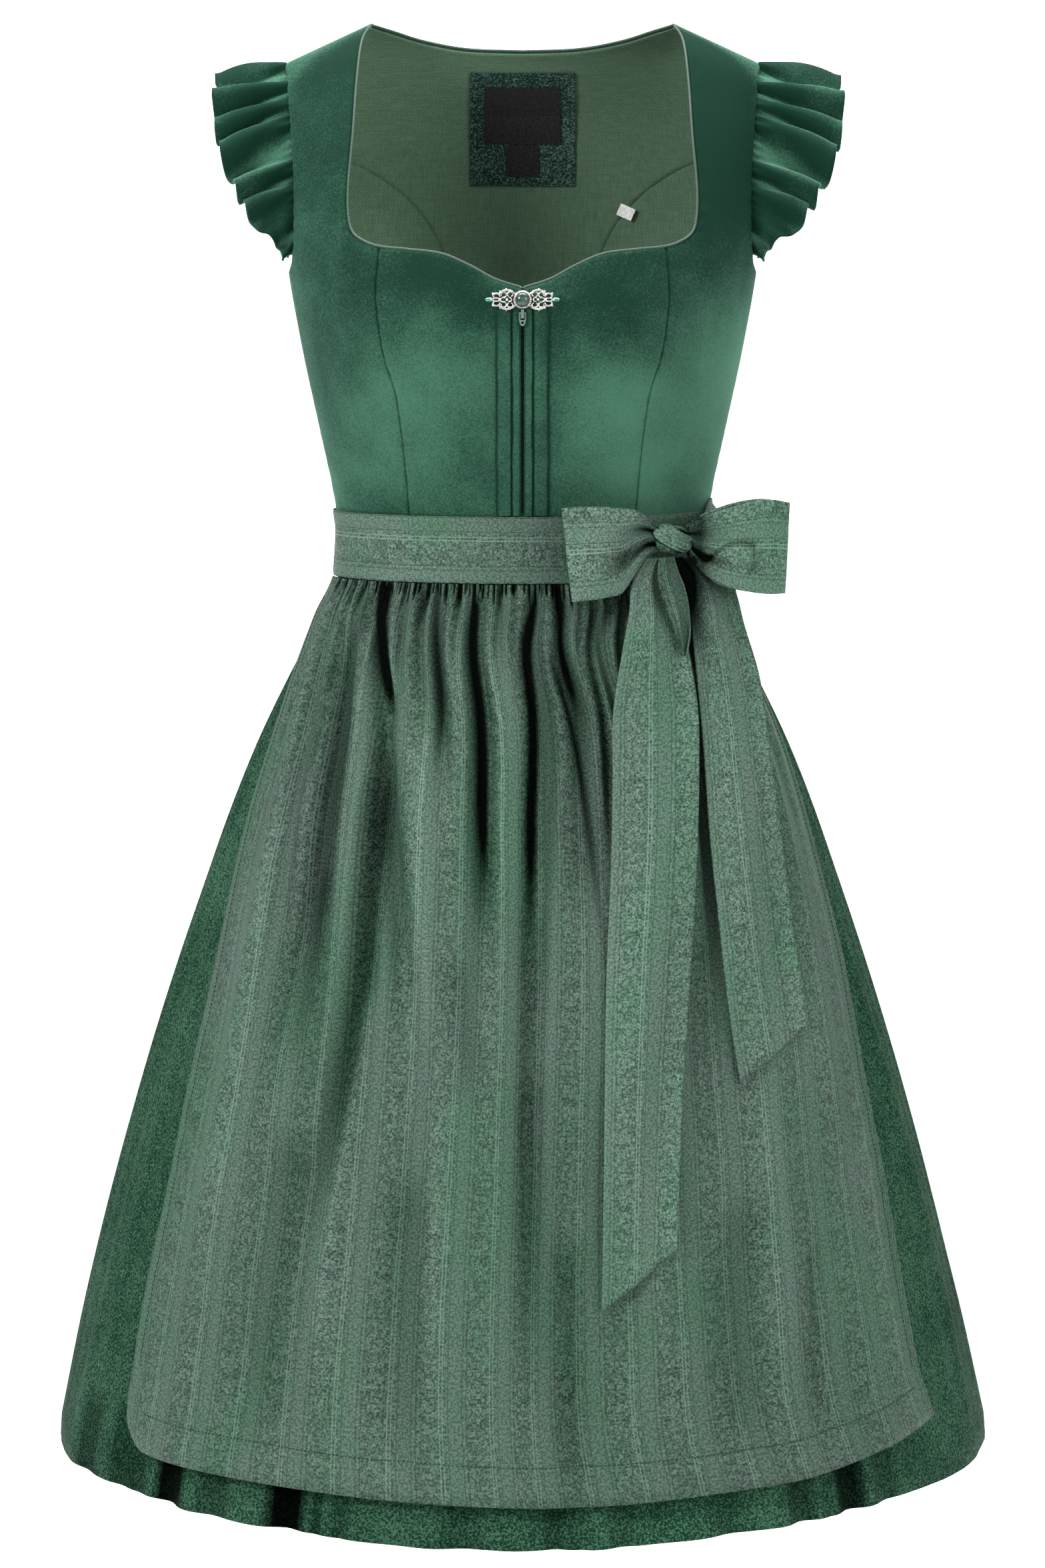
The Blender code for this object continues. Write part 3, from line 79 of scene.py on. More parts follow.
# Level rings of bodice and skirt: place from foot to top or waist to hem, height, half width and depths
Ring = namedtuple("Ring", "place height half_width front back square")
BODICE = rows_of(
    Ring,
    (0.0, WAIST, 0.1262, 0.088, 0.083, 2.0), (0.07, -0.317, 0.1296, 0.0925, 0.084, 2.03),
    (0.2, -0.272, 0.139, 0.105, 0.088, 2.12), (0.37, -0.213, 0.1512, 0.121, 0.096, 2.25),
    (0.52, -0.16, 0.16, 0.117, 0.102, 2.3), (0.68, -0.1, 0.1645, 0.096, 0.101, 2.3),
    (0.82, -0.046, 0.166, 0.066, 0.08, 2.3), (0.92, -0.011, 0.1655, 0.035, 0.044, 2.3),
    (1.0, 0.0, 0.165, 0.0, 0.0, 2.3), (1.08, -0.011, 0.1655, -0.035, -0.044, 2.3),
)
SKIRT = rows_of(
    Ring,
    (0.0, WAIST, 0.1262, 0.088, 0.083, 2.0), (0.05, BAND_FOOT, 0.1278, 0.0895, 0.086, 2.0),
    (0.1, -0.4, 0.1405, 0.1, 0.101, 1.98), (0.22, -0.48, 0.18, 0.13, 0.14, 1.93),
    (0.4, -0.595, 0.2235, 0.168, 0.179, 1.86), (0.62, -0.735, 0.269, 0.215, 0.215, 1.8),
    (0.84, -0.875, 0.306, 0.262, 0.242, 1.77), (1.0, HEM, 0.3285, 0.296, 0.258, 1.76),
)
BUST_REACH = 0.008  # how far each bust stands out, and below it where and how broad it is
BUST_SIDE = 0.085
BUST_HEIGHT = -0.213
BUST_SPREAD_ACROSS = 0.042
BUST_SPREAD_UP = 0.048

# Necklines: distance from the centre and height. Seams: height and distance. Armhole: place and distance
NECKLINE = (
    (0.0, -0.177), (0.0186, -0.171), (0.0354, -0.162), (0.0536, -0.1545), (0.0745, -0.1518),
    (0.095, -0.1497), (0.106, -0.146), (0.1135, -0.14), (0.1165, -0.129), (0.1168, -0.109), (0.114, -0.075),
    (0.112, -0.04), (0.109, -0.012), (NECK_POINT, 0.0),
)
NECK_CORNER = 5  # the point of the neckline where the front seam ends
BACK_NECKLINE = ((0.0, -0.0163), (0.038, -0.0149), (0.068, -0.0098), (0.089, -0.0038), (NECK_POINT, 0.0))
FRONT_SEAM = (
    (WAIST, 0.0755), (-0.299, 0.0783), (-0.271, 0.081), (-0.243, 0.0852), (-0.2235, 0.0915),
    (-0.201, 0.0954), (-0.1793, 0.0972), (-0.16, 0.0958), (-0.1497, 0.095),
)
BACK_SEAM = (
    (WAIST, 0.052), (-0.272, 0.049), (-0.2, 0.051), (-0.167, 0.0535), (-0.1605, 0.055), (-0.15, 0.058),
    (-0.131, 0.069), (-0.113, 0.086), (-0.099, 0.106), (-0.09, 0.127), (-0.0858, 0.1415), (-0.083, 0.1545),
)
UNDERARM = 0.50  # place of the armhole's lowest point
ARMHOLE = (
    (UNDERARM, 0.159), (0.505, 0.1583), (0.518, 0.1567), (0.545, 0.1553), (0.62, 0.1545), (0.7, 0.155),
    (0.8, 0.1572), (0.9, 0.1598), (1.0, 0.162),
)

ZIP_HALF_GAP = 0.0011
# Each tuck: its sewn edge and its fold, from the centre, and how thick it is
TUCKS = (("inner", 0.0015, 0.0068, 0.0022), ("outer", 0.0071, 0.0176, 0.0019))
TUCK_TOP = -0.1800
TUCK_FOOT = -0.3270
TUCK_CLEAR = 0.0003
PIPING_RADIUS = 0.0009
PIPING_SIDES = 10
BROOCH_HEIGHT = -0.1838
BROOCH_STAND = 0.0034  # from the bodice to the brooch's middle plane

# Sleeve ruffle, from under the arm in front (0) over the shoulder to the back (1)
RUFFLE_WAVES = 13
RuffleRow = namedtuple("RuffleRow", "place width droop_deg lean")
RUFFLE = rows_of(
    RuffleRow,
    (0.0, 0.006, 22, -0.3), (0.05, 0.012, 24, -0.3), (0.1, 0.022, 26, -0.28), (0.16, 0.034, 26, -0.25),
    (0.24, 0.043, 23, -0.2), (0.34, 0.05, 18, -0.12), (0.44, 0.05, 15, -0.04), (0.5, 0.047, 12, 0.0),
    (0.56, 0.05, 15, 0.04), (0.66, 0.05, 18, 0.12), (0.76, 0.043, 23, 0.2), (0.84, 0.034, 26, 0.25),
    (0.9, 0.022, 26, 0.28), (0.95, 0.012, 24, 0.3), (1.0, 0.006, 22, 0.3),
)

SKIRT_FOLDS = 30
SKIRT_SEAMS_DEG = (52, 128)
FoldDepth = namedtuple("FoldDepth", "place depth")
SKIRT_DEPTH = rows_of(
    FoldDepth,
    (0.0, 0.0004), (0.06, 0.002), (0.16, 0.006), (0.45, 0.0095), (0.86, 0.008), (1.0, 0.003),
)

ApronRow = namedtuple("ApronRow", "height right_deg left_deg reach")
APRON = rows_of(
    ApronRow,
    (-0.3736, -84, 84, 0.0028), (-0.385, -83, 83, 0.006), (-0.41, -77, 75.5, 0.012),
    (-0.46, -69, 73, 0.015), (-0.53, -65, 70, 0.0145), (-0.62, -61.5, 66, 0.0115),
    (-0.72, -59.5, 62.5, 0.009), (-0.84, -58.5, 60, 0.008), (-0.906, -57.9, 59.7, 0.008),
    (APRON_HEM, -57.9, 61.6, 0.008),
)
APRON_CLEAR = 0.0006
HemFold = namedtuple("HemFold", "turn_deg half_deg depth shade")
# Folds that show on the skirt's hem below the apron, by their direction seen from above, how wide and deep
# they are, and the shade painted into each
HEM_FOLDS = rows_of(
    HemFold,
    (-68, 3.0, 0.003, 0.45), (-59, 2.6, 0.0028, 0.4), (-55.2, 1.8, 0.002, 0.35), (-49.3, 2.8, 0.007, 0.95),
    (-41.9, 2.4, 0.0028, 0.42), (-31.8, 2.5, 0.0065, 0.95), (-27.8, 0.9, 0.0015, 0.45),
    (-24.4, 1.2, 0.0015, 0.28), (-9, 3.0, 0.003, 0.25), (5.4, 1.8, 0.003, 0.45), (8.6, 1.0, 0.002, 0.3),
    (14, 2.0, 0.003, 0.35), (27.6, 2.4, 0.0025, 0.28), (37.3, 2.2, 0.006, 0.66), (41.2, 0.9, 0.0015, 0.25),
    (44.9, 2.4, 0.0075, 1.0), (50.9, 2.4, 0.003, 0.4),
)
Fold = namedtuple("Fold", "top foot depth half_width start end")
APRON_FOLDS = rows_of(
    Fold,
    (0.05, 0.08, 0.55, 0.016, -0.37, -0.62), (0.112, 0.14, 0.65, 0.016, -0.37, -0.8),
    (0.152, 0.165, 0.6, 0.01, -0.37, -0.47), (0.186, 0.2, 0.8, 0.014, -0.37, -0.9),
    (0.214, 0.225, 0.6, 0.009, -0.37, -0.46), (0.247, 0.345, 1.0, 0.015, -0.37, -0.93),
    (0.29, 0.3, 0.75, 0.01, -0.37, -0.47), (0.326, 0.35, 0.7, 0.01, -0.37, -0.5),
    (0.362, 0.37, 0.75, 0.01, -0.37, -0.56), (0.392, 0.395, 0.6, 0.009, -0.37, -0.45),
    (0.426, 0.422, 1.0, 0.013, -0.37, -0.74), (0.462, 0.46, 0.65, 0.01, -0.37, -0.46),
    (0.492, 0.485, 0.55, 0.009, -0.37, -0.45), (0.527, 0.5, 1.0, 0.012, -0.37, -0.78),
    (0.568, 0.59, 0.9, 0.012, -0.37, -0.54), (0.604, 0.61, 0.65, 0.01, -0.37, -0.46),
    (0.64, 0.64, 0.85, 0.012, -0.37, -0.53), (0.682, 0.612, 1.0, 0.014, -0.37, -0.72),
    (0.726, 0.705, 0.7, 0.012, -0.37, -0.5), (0.77, 0.735, 0.85, 0.015, -0.37, -0.85),
    (0.822, 0.8, 0.6, 0.014, -0.37, -0.55), (0.876, 0.85, 0.65, 0.017, -0.37, -0.75),
    (0.935, 0.92, 0.5, 0.018, -0.37, -0.6), (0.27, 0.27, 0.55, 0.03, -0.62, -1.05),
    (0.56, 0.56, 0.5, 0.028, -0.66, -1.05), (0.88, 0.885, 0.6, 0.034, -0.66, -1.05),
)
Crease = namedtuple("Crease", "top middle foot start end half_width depth shade")
# The apron's main creases: place across at the start, middle and end, heights of start and end, half width,
# metres deep and painted shade; ridges have both negative, and there the shade is painted light
CREASES = rows_of(
    Crease,
    (0.222, 0.245, 0.288, -0.36, -0.478, 0.016, 0.014, 1.0),
    (0.268, 0.262, 0.23, -0.47, -0.81, 0.02, 0.011, 0.72),
    (0.346, 0.356, 0.355, -0.36, -0.51, 0.006, 0.006, 0.7),
    (0.545, 0.575, 0.598, -0.4, -0.62, 0.005, 0.003, 0.5),
    (0.418, 0.417, 0.427, -0.36, -0.61, 0.0105, 0.016, 1.0),
    (0.522, 0.497, 0.492, -0.36, -0.64, 0.0115, 0.016, 1.0),
    (0.492, 0.499, 0.51, -0.56, -0.88, 0.02, 0.005, 0.28),
    (0.562, 0.572, 0.58, -0.36, -0.47, 0.008, 0.011, 0.8),
    (0.572, 0.569, 0.574, -0.41, -0.61, 0.03, 0.007, 0.4),
    (0.632, 0.612, 0.609, -0.36, -0.57, 0.008, 0.009, 0.7),
    (0.168, 0.178, 0.136, -0.39, -0.72, 0.02, 0.01, 0.45),
    (0.147, 0.144, 0.142, -0.42, -0.52, 0.01, 0.004, 0.28),
    (0.186, 0.185, 0.182, -0.55, -0.71, 0.009, 0.003, 0.25),
    (0.196, 0.187, 0.181, -0.72, -0.96, 0.044, 0.006, 0.24),
    (0.345, 0.352, 0.359, -0.74, -0.97, 0.03, 0.005, 0.24),
    (0.388, 0.408, 0.427, -0.61, -0.72, 0.018, 0.003, 0.22),
    (0.499, 0.505, 0.513, -0.67, -0.93, 0.024, 0.004, 0.22),
    (0.556, 0.557, 0.55, -0.78, -0.98, 0.02, 0.005, 0.32),
    (0.766, 0.749, 0.754, -0.76, -0.96, 0.034, 0.005, 0.24),
    (0.852, 0.842, 0.836, -0.79, -0.95, 0.014, 0.003, 0.18),
    (0.725, 0.716, 0.708, -0.5, -0.73, 0.012, 0.003, 0.12),
    (0.276, 0.258, 0.25, -0.62, -0.9, 0.014, -0.005, -0.3),
    (0.103, 0.09, 0.096, -0.51, -0.87, 0.02, -0.004, -0.2),
    (0.245, 0.238, 0.228, -0.48, -0.65, 0.014, -0.003, -0.16),
    (0.339, 0.338, 0.337, -0.45, -0.76, 0.022, -0.003, -0.28),
    (0.376, 0.382, 0.388, -0.7, -0.95, 0.02, -0.003, -0.12),
    (0.452, 0.45, 0.45, -0.4, -0.61, 0.014, -0.002, -0.14),
    (0.824, 0.81, 0.798, -0.56, -0.95, 0.03, -0.003, -0.2),
    (0.885, 0.885, 0.89, -0.58, -0.94, 0.03, -0.001, -0.2),
    (0.945, 0.945, 0.95, -0.72, -0.94, 0.025, -0.001, -0.18),
    (0.66, 0.655, 0.65, -0.6, -0.96, 0.022, -0.003, -0.1),
)
APRON_HEM_SWING = 0.0160  # rise of the hem towards its left corner
APRON_ROUND = 0.045  # share of the width that the right corner's rounding takes up, and its rise
APRON_ROUND_RISE = 0.030
APRON_CUT = (0.62, 0.60)  # width and length of the apron's cloth before it is gathered
APRON_COLUMNS = 321
APRON_ROWS = 112
SHIRRING_ROWS = 9  # rows of the shirring under the band, which have finer columns
SHIRRING_FINER = 3
SHIRRING_SHARE = 0.024  # of the apron's height
APRON_STITCH_PITCH = 0.0030
APRON_THREAD = 0.00036
HEM_STITCH = 0.024  # from the hem to its row of stitches
SIDE_STITCH = 0.008
BAND_OUT = 0.0010 + APRON_CLOTH  # from the waist to the band's outer face
BAND_END_DEG = 92

KNOT = np.array([0.1000, -0.0790, -0.3440])
KNOT_HALF = np.array([0.0130, 0.0095, 0.0108])
# Bow loops: share of the way out, top and foot edges from the middle, and half the room inside
LoopRow = namedtuple("LoopRow", "out top foot open")
LOOP_RIGHT_END = (0.0262, -0.1175, -0.3395)
LOOP_RIGHT = rows_of(
    LoopRow,
    (0.0, 0.009, -0.0085, 0.0022), (0.12, 0.014, -0.011, 0.0032), (0.28, 0.0192, -0.0235, 0.0055),
    (0.42, 0.0202, -0.0355, 0.0072), (0.6, 0.0205, -0.0392, 0.0085), (1.0, 0.0188, -0.0432, 0.006),
)
LOOP_LEFT_END = (0.1800, -0.0480, -0.3440)
LOOP_LEFT = rows_of(
    LoopRow,
    (0.0, 0.009, -0.0085, 0.0022), (0.1, 0.0141, -0.02, 0.0032), (0.28, 0.019, -0.0291, 0.006),
    (0.55, 0.024, -0.0356, 0.0095), (0.78, 0.0256, -0.038, 0.009), (1.0, 0.023, -0.0384, 0.006),
)
# Tie ends: height, middle from the centre, half width, and how far they stand off the apron
Tail = namedtuple("Tail", "height middle half out")
LONG_TAIL = rows_of(
    Tail,
    (-0.3556, 0.092, 0.0085, 0.007), (-0.371, 0.0879, 0.0144, 0.0068), (-0.39, 0.0886, 0.0176, 0.006),
    (-0.414, 0.0884, 0.0219, 0.005), (-0.455, 0.0883, 0.0284, 0.004), (-0.494, 0.0882, 0.0288, 0.0035),
    (-0.54, 0.0871, 0.0285, 0.0032), (-0.63, 0.0822, 0.0275, 0.003), (-0.69, 0.0793, 0.0258, 0.003),
    (-0.794, 0.0757, 0.0246, 0.003),
)
SHORT_TAIL = rows_of(
    Tail,
    (-0.3556, 0.1095, 0.0068, 0.025), (-0.372, 0.124, 0.0165, 0.019), (-0.385, 0.1288, 0.0168, 0.014),
    (-0.4, 0.1312, 0.018, 0.009), (-0.435, 0.138, 0.0215, 0.0035), (-0.475, 0.1426, 0.0226, 0.0018),
    (-0.548, 0.1497, 0.0244, 0.0018), (-0.607, 0.1571, 0.0245, 0.0018), (-0.663, 0.1665, 0.023, 0.0018),
)
FOLD_LEAF = rows_of(
    Tail,
    (-0.355, 0.0965, 0.0048, 0.014), (-0.37, 0.0985, 0.0078, 0.02), (-0.387, 0.103, 0.0072, 0.0165),
    (-0.405, 0.1065, 0.0045, 0.012), (-0.419, 0.1072, 0.001, 0.01),
)
LONG_CUT = 0.036  # drop of the slanting cut at the foot of each tie end
SHORT_CUT = 0.031
TAIL_WAVE = 0.0020


# Curves through tables


def smooth(places, values, at):
    """Cubic curve through the values at rising places, with the slopes between neighbours."""
    places, values, at = (np.asarray(a, float) for a in (places, values, at))
    slopes = np.gradient(values, places)
    i = np.clip(np.searchsorted(places, at, side="right") - 1, 0, len(places) - 2)
    step = places[i + 1] - places[i]
    t = np.clip((at - places[i]) / step, 0.0, 1.0)
    start = (1 + 2 * t) * (1 - t) ** 2 * values[i] + t * (1 - t) ** 2 * step * slopes[i]
    end = t * t * (3 - 2 * t) * values[i + 1] - t * t * (1 - t) * step * slopes[i + 1]
    return start + end


def column(table, field, at):
    rows = sorted(table, key=lambda row: row[0])
    return smooth([row[0] for row in rows], [getattr(row, field) for row in rows], at)


def curve(pairs, at):
    """Value on the cubic curve through pairs of place and value."""
    places, values = zip(*pairs)
    return smooth(places, values, at)


def numbered(pairs, at):
    """Points on the cubic curve through pairs, at places between their numbers."""
    index = np.arange(len(pairs))
    return np.stack([smooth(index, values, at) for values in zip(*pairs)], axis=1)


def dense(pairs, count):
    return numbered(pairs, np.linspace(0, len(pairs) - 1, count))


def ease(t):
    """0 below 0, 1 above 1, and 3t^2 - 2t^3 between."""
    t = np.clip(t, 0.0, 1.0)
    return t * t * (3 - 2 * t)


def turns(times, across, phase=0.0):
    return np.sin(2 * math.pi * times * across + phase)


def bell(away, spread):
    return np.exp(-((away / spread) ** 2))


def circle(count):
    return np.linspace(0, 2 * math.pi, count, endpoint=False)


def run_along(points):
    """Distance from the start of a line, or of each line that runs across a grid."""
    steps = np.linalg.norm(np.diff(points, axis=0), axis=-1)
    return np.concatenate([0 * steps[:1], np.cumsum(steps, axis=0)])


def on_line(line, places, at):
    """Points, or vectors, read from those of a line that lie at rising places."""
    return np.stack([np.interp(at, places, line[:, k]) for k in range(3)], axis=-1)


# Body of the garment


def rounded(value, square):
    return np.sign(value) * np.abs(value) ** (2.0 / square)


def ring_point(table, turn, place):
    """Point on a ring: a superellipse with its own half width, front and back depth and squareness."""
    turn, place = np.broadcast_arrays(np.asarray(turn, float), np.asarray(place, float))
    square = column(table, "square", place)
    depth = np.where(np.cos(turn) >= 0, column(table, "front", place), column(table, "back", place))
    across = column(table, "half_width", place) * rounded(np.sin(turn), square)
    forward = -depth * rounded(np.cos(turn), square)
    return np.stack([across, forward, column(table, "height", place)], axis=-1)


def bodice(turn, place):
    """Ring point, pushed forward by a bell over each bust and let down along the shoulder's slope."""
    point = ring_point(BODICE, turn, place)
    side = (np.abs(point[..., 0]) - BUST_SIDE) / BUST_SPREAD_ACROSS
    rise = (point[..., 2] - BUST_HEIGHT) / BUST_SPREAD_UP
    in_front = np.clip(np.cos(turn), 0.0, 1.0)
    point[..., 1] -= BUST_REACH * np.exp(-(side**2) - rise**2) * in_front
    point[..., 2] -= shoulder_fall(point[..., 0], place)
    return point


def shoulder_fall(across, place):
    beyond = np.maximum(np.abs(across) - NECK_POINT, 0.0)
    return SHOULDER_FALL * beyond * ease((np.asarray(place, float) - 0.55) / 0.40)


def ring_turn(table, across, place):
    """The front turn at which a ring is this far from the centre."""
    share = np.clip(np.abs(across) / column(table, "half_width", place), 0.0, 1.0)
    return np.arcsin(share ** (column(table, "square", place) / 2.0)) * np.sign(across)


def turn_at(across, place):
    return ring_turn(BODICE, across, place)


RING_PLACES = np.linspace(0.0, 1.0, 801)
RING_HEIGHTS = column(BODICE, "height", RING_PLACES)


def place_at(across, height):
    """The place on the bodice rings that has this height, this far from the centre."""
    across, height = np.atleast_1d(across), np.atleast_1d(height)
    fall = shoulder_fall(across[:, None], RING_PLACES[None, :])
    return np.array([np.interp(h, RING_HEIGHTS - f, RING_PLACES) for h, f in zip(height, fall)])


def armhole_turn(place):
    place = np.asarray(place, float)
    return np.where(place <= UNDERARM + 1e-6, math.pi / 2, turn_at(curve(ARMHOLE, place), place))


def bodice_normal(turn, place):
    """Unit normal: the cross product of the surface's steps across and up."""
    step = 2e-4
    across = bodice(turn + step, place) - bodice(turn - step, place)
    up = bodice(turn, place + step) - bodice(turn, place - step)
    normal = np.cross(across, up)
    return normal / np.linalg.norm(normal, axis=-1, keepdims=True)


def behind_bodice(turn, place, distance):
    turn, place = np.broadcast_arrays(np.asarray(turn, float), np.asarray(place, float))
    return bodice(turn, place) - bodice_normal(turn, place) * np.asarray(distance)[..., None]


# Meshes


def unit(vectors):
    return vectors / np.maximum(np.linalg.norm(vectors, axis=-1, keepdims=True), 1e-12)


def normals(points):
    return unit(np.cross(np.gradient(points, axis=0), np.gradient(points, axis=1)))


def grid_faces(columns, rows, first=0, around=False):
    """Quads of a grid whose rows run fastest; around joins its last column to its first."""
    i = np.arange(columns if around else columns - 1)[:, None]
    j = np.arange(rows - 1)[None, :]
    a, b = first + i * rows + j, first + (i + 1) % columns * rows + j
    return np.stack([a, b, b + 1, a + 1], axis=-1).reshape(-1, 4)


def closed_faces(columns, rows):
    """Quads of a grid that closes on itself, and a face over each of its two ends."""
    ring = np.arange(columns)
    return [grid_faces(columns, rows, around=True), np.stack([ring * rows, ring[::-1] * rows + rows - 1])]


def cloth_map(points):
    """Distances along a grid, across and up, averaged over the other direction."""
    across = np.linalg.norm(np.diff(points, axis=0), axis=-1).mean(axis=1)
    up = np.linalg.norm(np.diff(points, axis=1), axis=-1).mean(axis=0)
    across, up = (np.concatenate([[0], np.cumsum(steps)]) for steps in (across, up))
    return np.stack(np.meshgrid(across - across.mean(), up, indexing="ij"), axis=-1)


def put(name, points, faces, look, uv=None, flat_faces=False, **values):
    """Object from points and arrays of faces, with a UV map in metres and named values at its points."""
    mesh = bpy.data.meshes.new(name)
    faces = faces if isinstance(faces, list) else [faces]
    corners = np.concatenate([f.ravel() for f in faces]).astype(np.int32)
    sizes = np.concatenate([np.full(len(f), f.shape[1]) for f in faces]).astype(np.int32)
    mesh.vertices.add(len(points))
    mesh.vertices.foreach_set("co", np.asarray(points, np.float32).ravel())
    mesh.loops.add(len(corners))
    mesh.loops.foreach_set("vertex_index", corners)
    mesh.polygons.add(len(sizes))
    mesh.polygons.foreach_set("loop_start", (np.cumsum(sizes) - sizes).astype(np.int32))
    mesh.polygons.foreach_set("loop_total", sizes)
    mesh.update(calc_edges=True)
    mesh.polygons.foreach_set("use_smooth", np.full(len(sizes), not flat_faces))
    if uv is not None:
        layer = mesh.uv_layers.new(name="cloth")
        layer.data.foreach_set("uv", np.asarray(uv, np.float32).reshape(-1, 2)[corners].ravel())
    for key, value in values.items():
        attribute = mesh.attributes.new(key, "FLOAT", "POINT")
        attribute.data.foreach_set("value", np.asarray(value, np.float32).ravel())
    mesh.validate()
    mesh.materials.append(LOOKS[look])
    obj = bpy.data.objects.new(name, mesh)
    bpy.context.scene.collection.objects.link(obj)
    return obj


def fit(obj, replaces=()):
    """Hangs the piece on the dress's empty and hides the solids that it stands for."""
    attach(obj, "dress")
    if replaces:
        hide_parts(*replaces)
    return obj


def thicken(obj, thickness):
    solidify = obj.modifiers.new("thickness", "SOLIDIFY")
    solidify.thickness = thickness
    solidify.offset = -1.0
    solidify.use_quality_normals = True


def mirrored(points, side):
    """A grid made for the wearer's left, on the given side with its normals still outward."""
    if side > 0:
        return points
    return (points * np.array([-1.0, 1.0, 1.0]))[::-1]


Finish = namedtuple("Finish", "look thickness")
VELVET_FINISH = Finish("velvet", VELVET)
TUCK_FINISH = Finish("velvet", TUCK_CLOTH)
LINING_FINISH = Finish("lining_cotton", LINING)
SKIRT_FINISH = Finish("skirt_jacquard", SKIRT_CLOTH)
APRON_FINISH = Finish("apron_jacquard", APRON_CLOTH)


def cloth(name, points, finish, flat, held, rests_on=(), uv=None, area=None, **values):
    """A sheet of cloth over a grid of points on its outer face."""
    uv = cloth_map(points) if uv is None else uv
    faces = grid_faces(*points.shape[:2])
    obj = put(f"{name}_cloth", points.reshape(-1, 3), faces, finish.look, uv, **values)
    thicken(obj, finish.thickness)
    fit(obj, (name,))


def tube(name, line, radius, sides, up, look):
    """Round cord: a circle of the radius carried along the line, square to it, with flat ends."""
    tangent = unit(np.gradient(line, axis=0))
    side = unit(np.cross(tangent, up))
    above = np.cross(side, tangent)
    angle = circle(sides)[None, :, None]
    radius = np.broadcast_to(np.asarray(radius, float), (len(line),))[:, None, None]
    spoke = np.cos(angle) * side[:, None, :] + np.sin(angle) * above[:, None, :]
    points = (line[:, None, :] + radius * spoke).transpose(1, 0, 2).reshape(-1, 3)
    uv = np.stack(np.meshgrid(np.arange(sides) / sides, run_along(line), indexing="ij"), axis=-1)
    return put(name, points, closed_faces(sides, len(line)), look, uv)


def joined(name, parts):
    """One object from several, each with its place in its mesh."""
    first = parts[0]
    with bpy.context.temp_override(active_object=first, selected_editable_objects=parts):
        bpy.ops.object.join()
    first.name = name
    first.data.name = name
    return first


# A stitch, from end to end: share of its length, how high it lies, and how thick it is
STITCH_LENGTH = 0.0022
STITCH_SHARES = np.array([-0.5, -0.38, 0.38, 0.5])
STITCH_RISE = np.array([-0.5, 0.3, 0.3, -0.5])
STITCH_THICK = np.array([0.55, 1.0, 1.0, 0.55])


def stitches(name, line, out, pitch, radius):
    """Row of thread stitches: each is a low, four-sided bar with small ends, lying along the line."""
    along = run_along(line)
    at = np.arange(pitch, along[-1] - pitch, pitch)
    centre = on_line(line, along, at[:, None] + (STITCH_SHARES * STITCH_LENGTH)[None, :])
    ahead = unit(centre[:, -1] - centre[:, 0])[:, None, :]
    up = unit(on_line(out, along, at))[:, None, :]
    side = np.cross(ahead, up)
    rise = STITCH_RISE[None, :, None] * radius
    thick = STITCH_THICK[None, :, None] * radius
    corner = np.stack([side, up, -side, -up], axis=2)
    points = (centre + up * rise)[:, :, None, :] + corner * thick[..., None]
    here = np.arange(4)
    after = (here + 1) % 4
    quads = [np.stack([here, after, 4 + after, 4 + here], axis=1) + 4 * k for k in range(3)]
    bar = np.concatenate([*quads, [[3, 2, 1, 0], [12, 13, 14, 15]]])
    faces = (bar[None] + 16 * np.arange(len(at))[:, None, None]).reshape(-1, 4)
    fit(put(name, points.reshape(-1, 3), faces, "thread"))


def welded(obj):
    """Merges a piece's doubled points, such as those at a pole, and turns its faces outwards."""
    work = bmesh.new()
    work.from_mesh(obj.data)
    bmesh.ops.remove_doubles(work, verts=work.verts, dist=1e-6)
    bmesh.ops.recalc_face_normals(work, faces=work.faces)
    work.to_mesh(obj.data)
    work.free()
    return obj


def repaint(looks):
    """Gives solids that show as they are their looks."""
    for name, look in looks:
        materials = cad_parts[name].data.materials
        materials.clear()
        materials.append(LOOKS[look])


# Bodice panels


Spot = namedtuple("Spot", "across height wide tall shade")
# Where the velvet on the front is made lighter or darker, partly its own brushed nap and partly painted
# shade and painted light: place, size, and how much
PILE_AND_SHADE_SPOTS = rows_of(
    Spot,
    (-0.06, -0.164, 0.04, 0.024, -1.2), (-0.028, -0.192, 0.024, 0.02, -0.9),
    (-0.108, -0.18, 0.03, 0.036, -0.45), (-0.085, -0.205, 0.026, 0.02, -0.4),
    (0.06, -0.182, 0.038, 0.034, -1.1), (0.02, -0.205, 0.014, 0.03, -0.6),
    (0.128, -0.075, 0.05, 0.09, -2.3), (0.12, -0.005, 0.05, 0.034, -2.1),
    (-0.125, -0.08, 0.05, 0.09, -0.95), (-0.118, -0.005, 0.05, 0.034, -1.2),
    (-0.15, -0.25, 0.035, 0.05, -0.75), (-0.105, -0.262, 0.05, 0.05, 0.36),
    (-0.06, -0.24, 0.036, 0.026, 0.35), (0.072, -0.252, 0.036, 0.022, 0.65),
    (0.016, -0.285, 0.012, 0.05, -0.45), (-0.028, -0.29, 0.016, 0.04, -0.35),
    (0.132, -0.235, 0.026, 0.044, 0.45), (0.078, -0.306, 0.034, 0.036, 0.62),
    (-0.09, -0.332, 0.05, 0.022, -0.75),
)


# The spots' brushed nap, painted shade and painted light, summed into one value
def pile(points):
    """Sum of the spots' bells over the front, fading to nothing on the back."""
    across, forward, height = (points[..., k] for k in range(3))
    bells = (bell(across - spot.across, spot.wide) * bell(height - spot.height, spot.tall) for spot in PILE_AND_SHADE_SPOTS)
    return sum(spot.shade * share for spot, share in zip(PILE_AND_SHADE_SPOTS, bells)) * ease(-forward / 0.03)


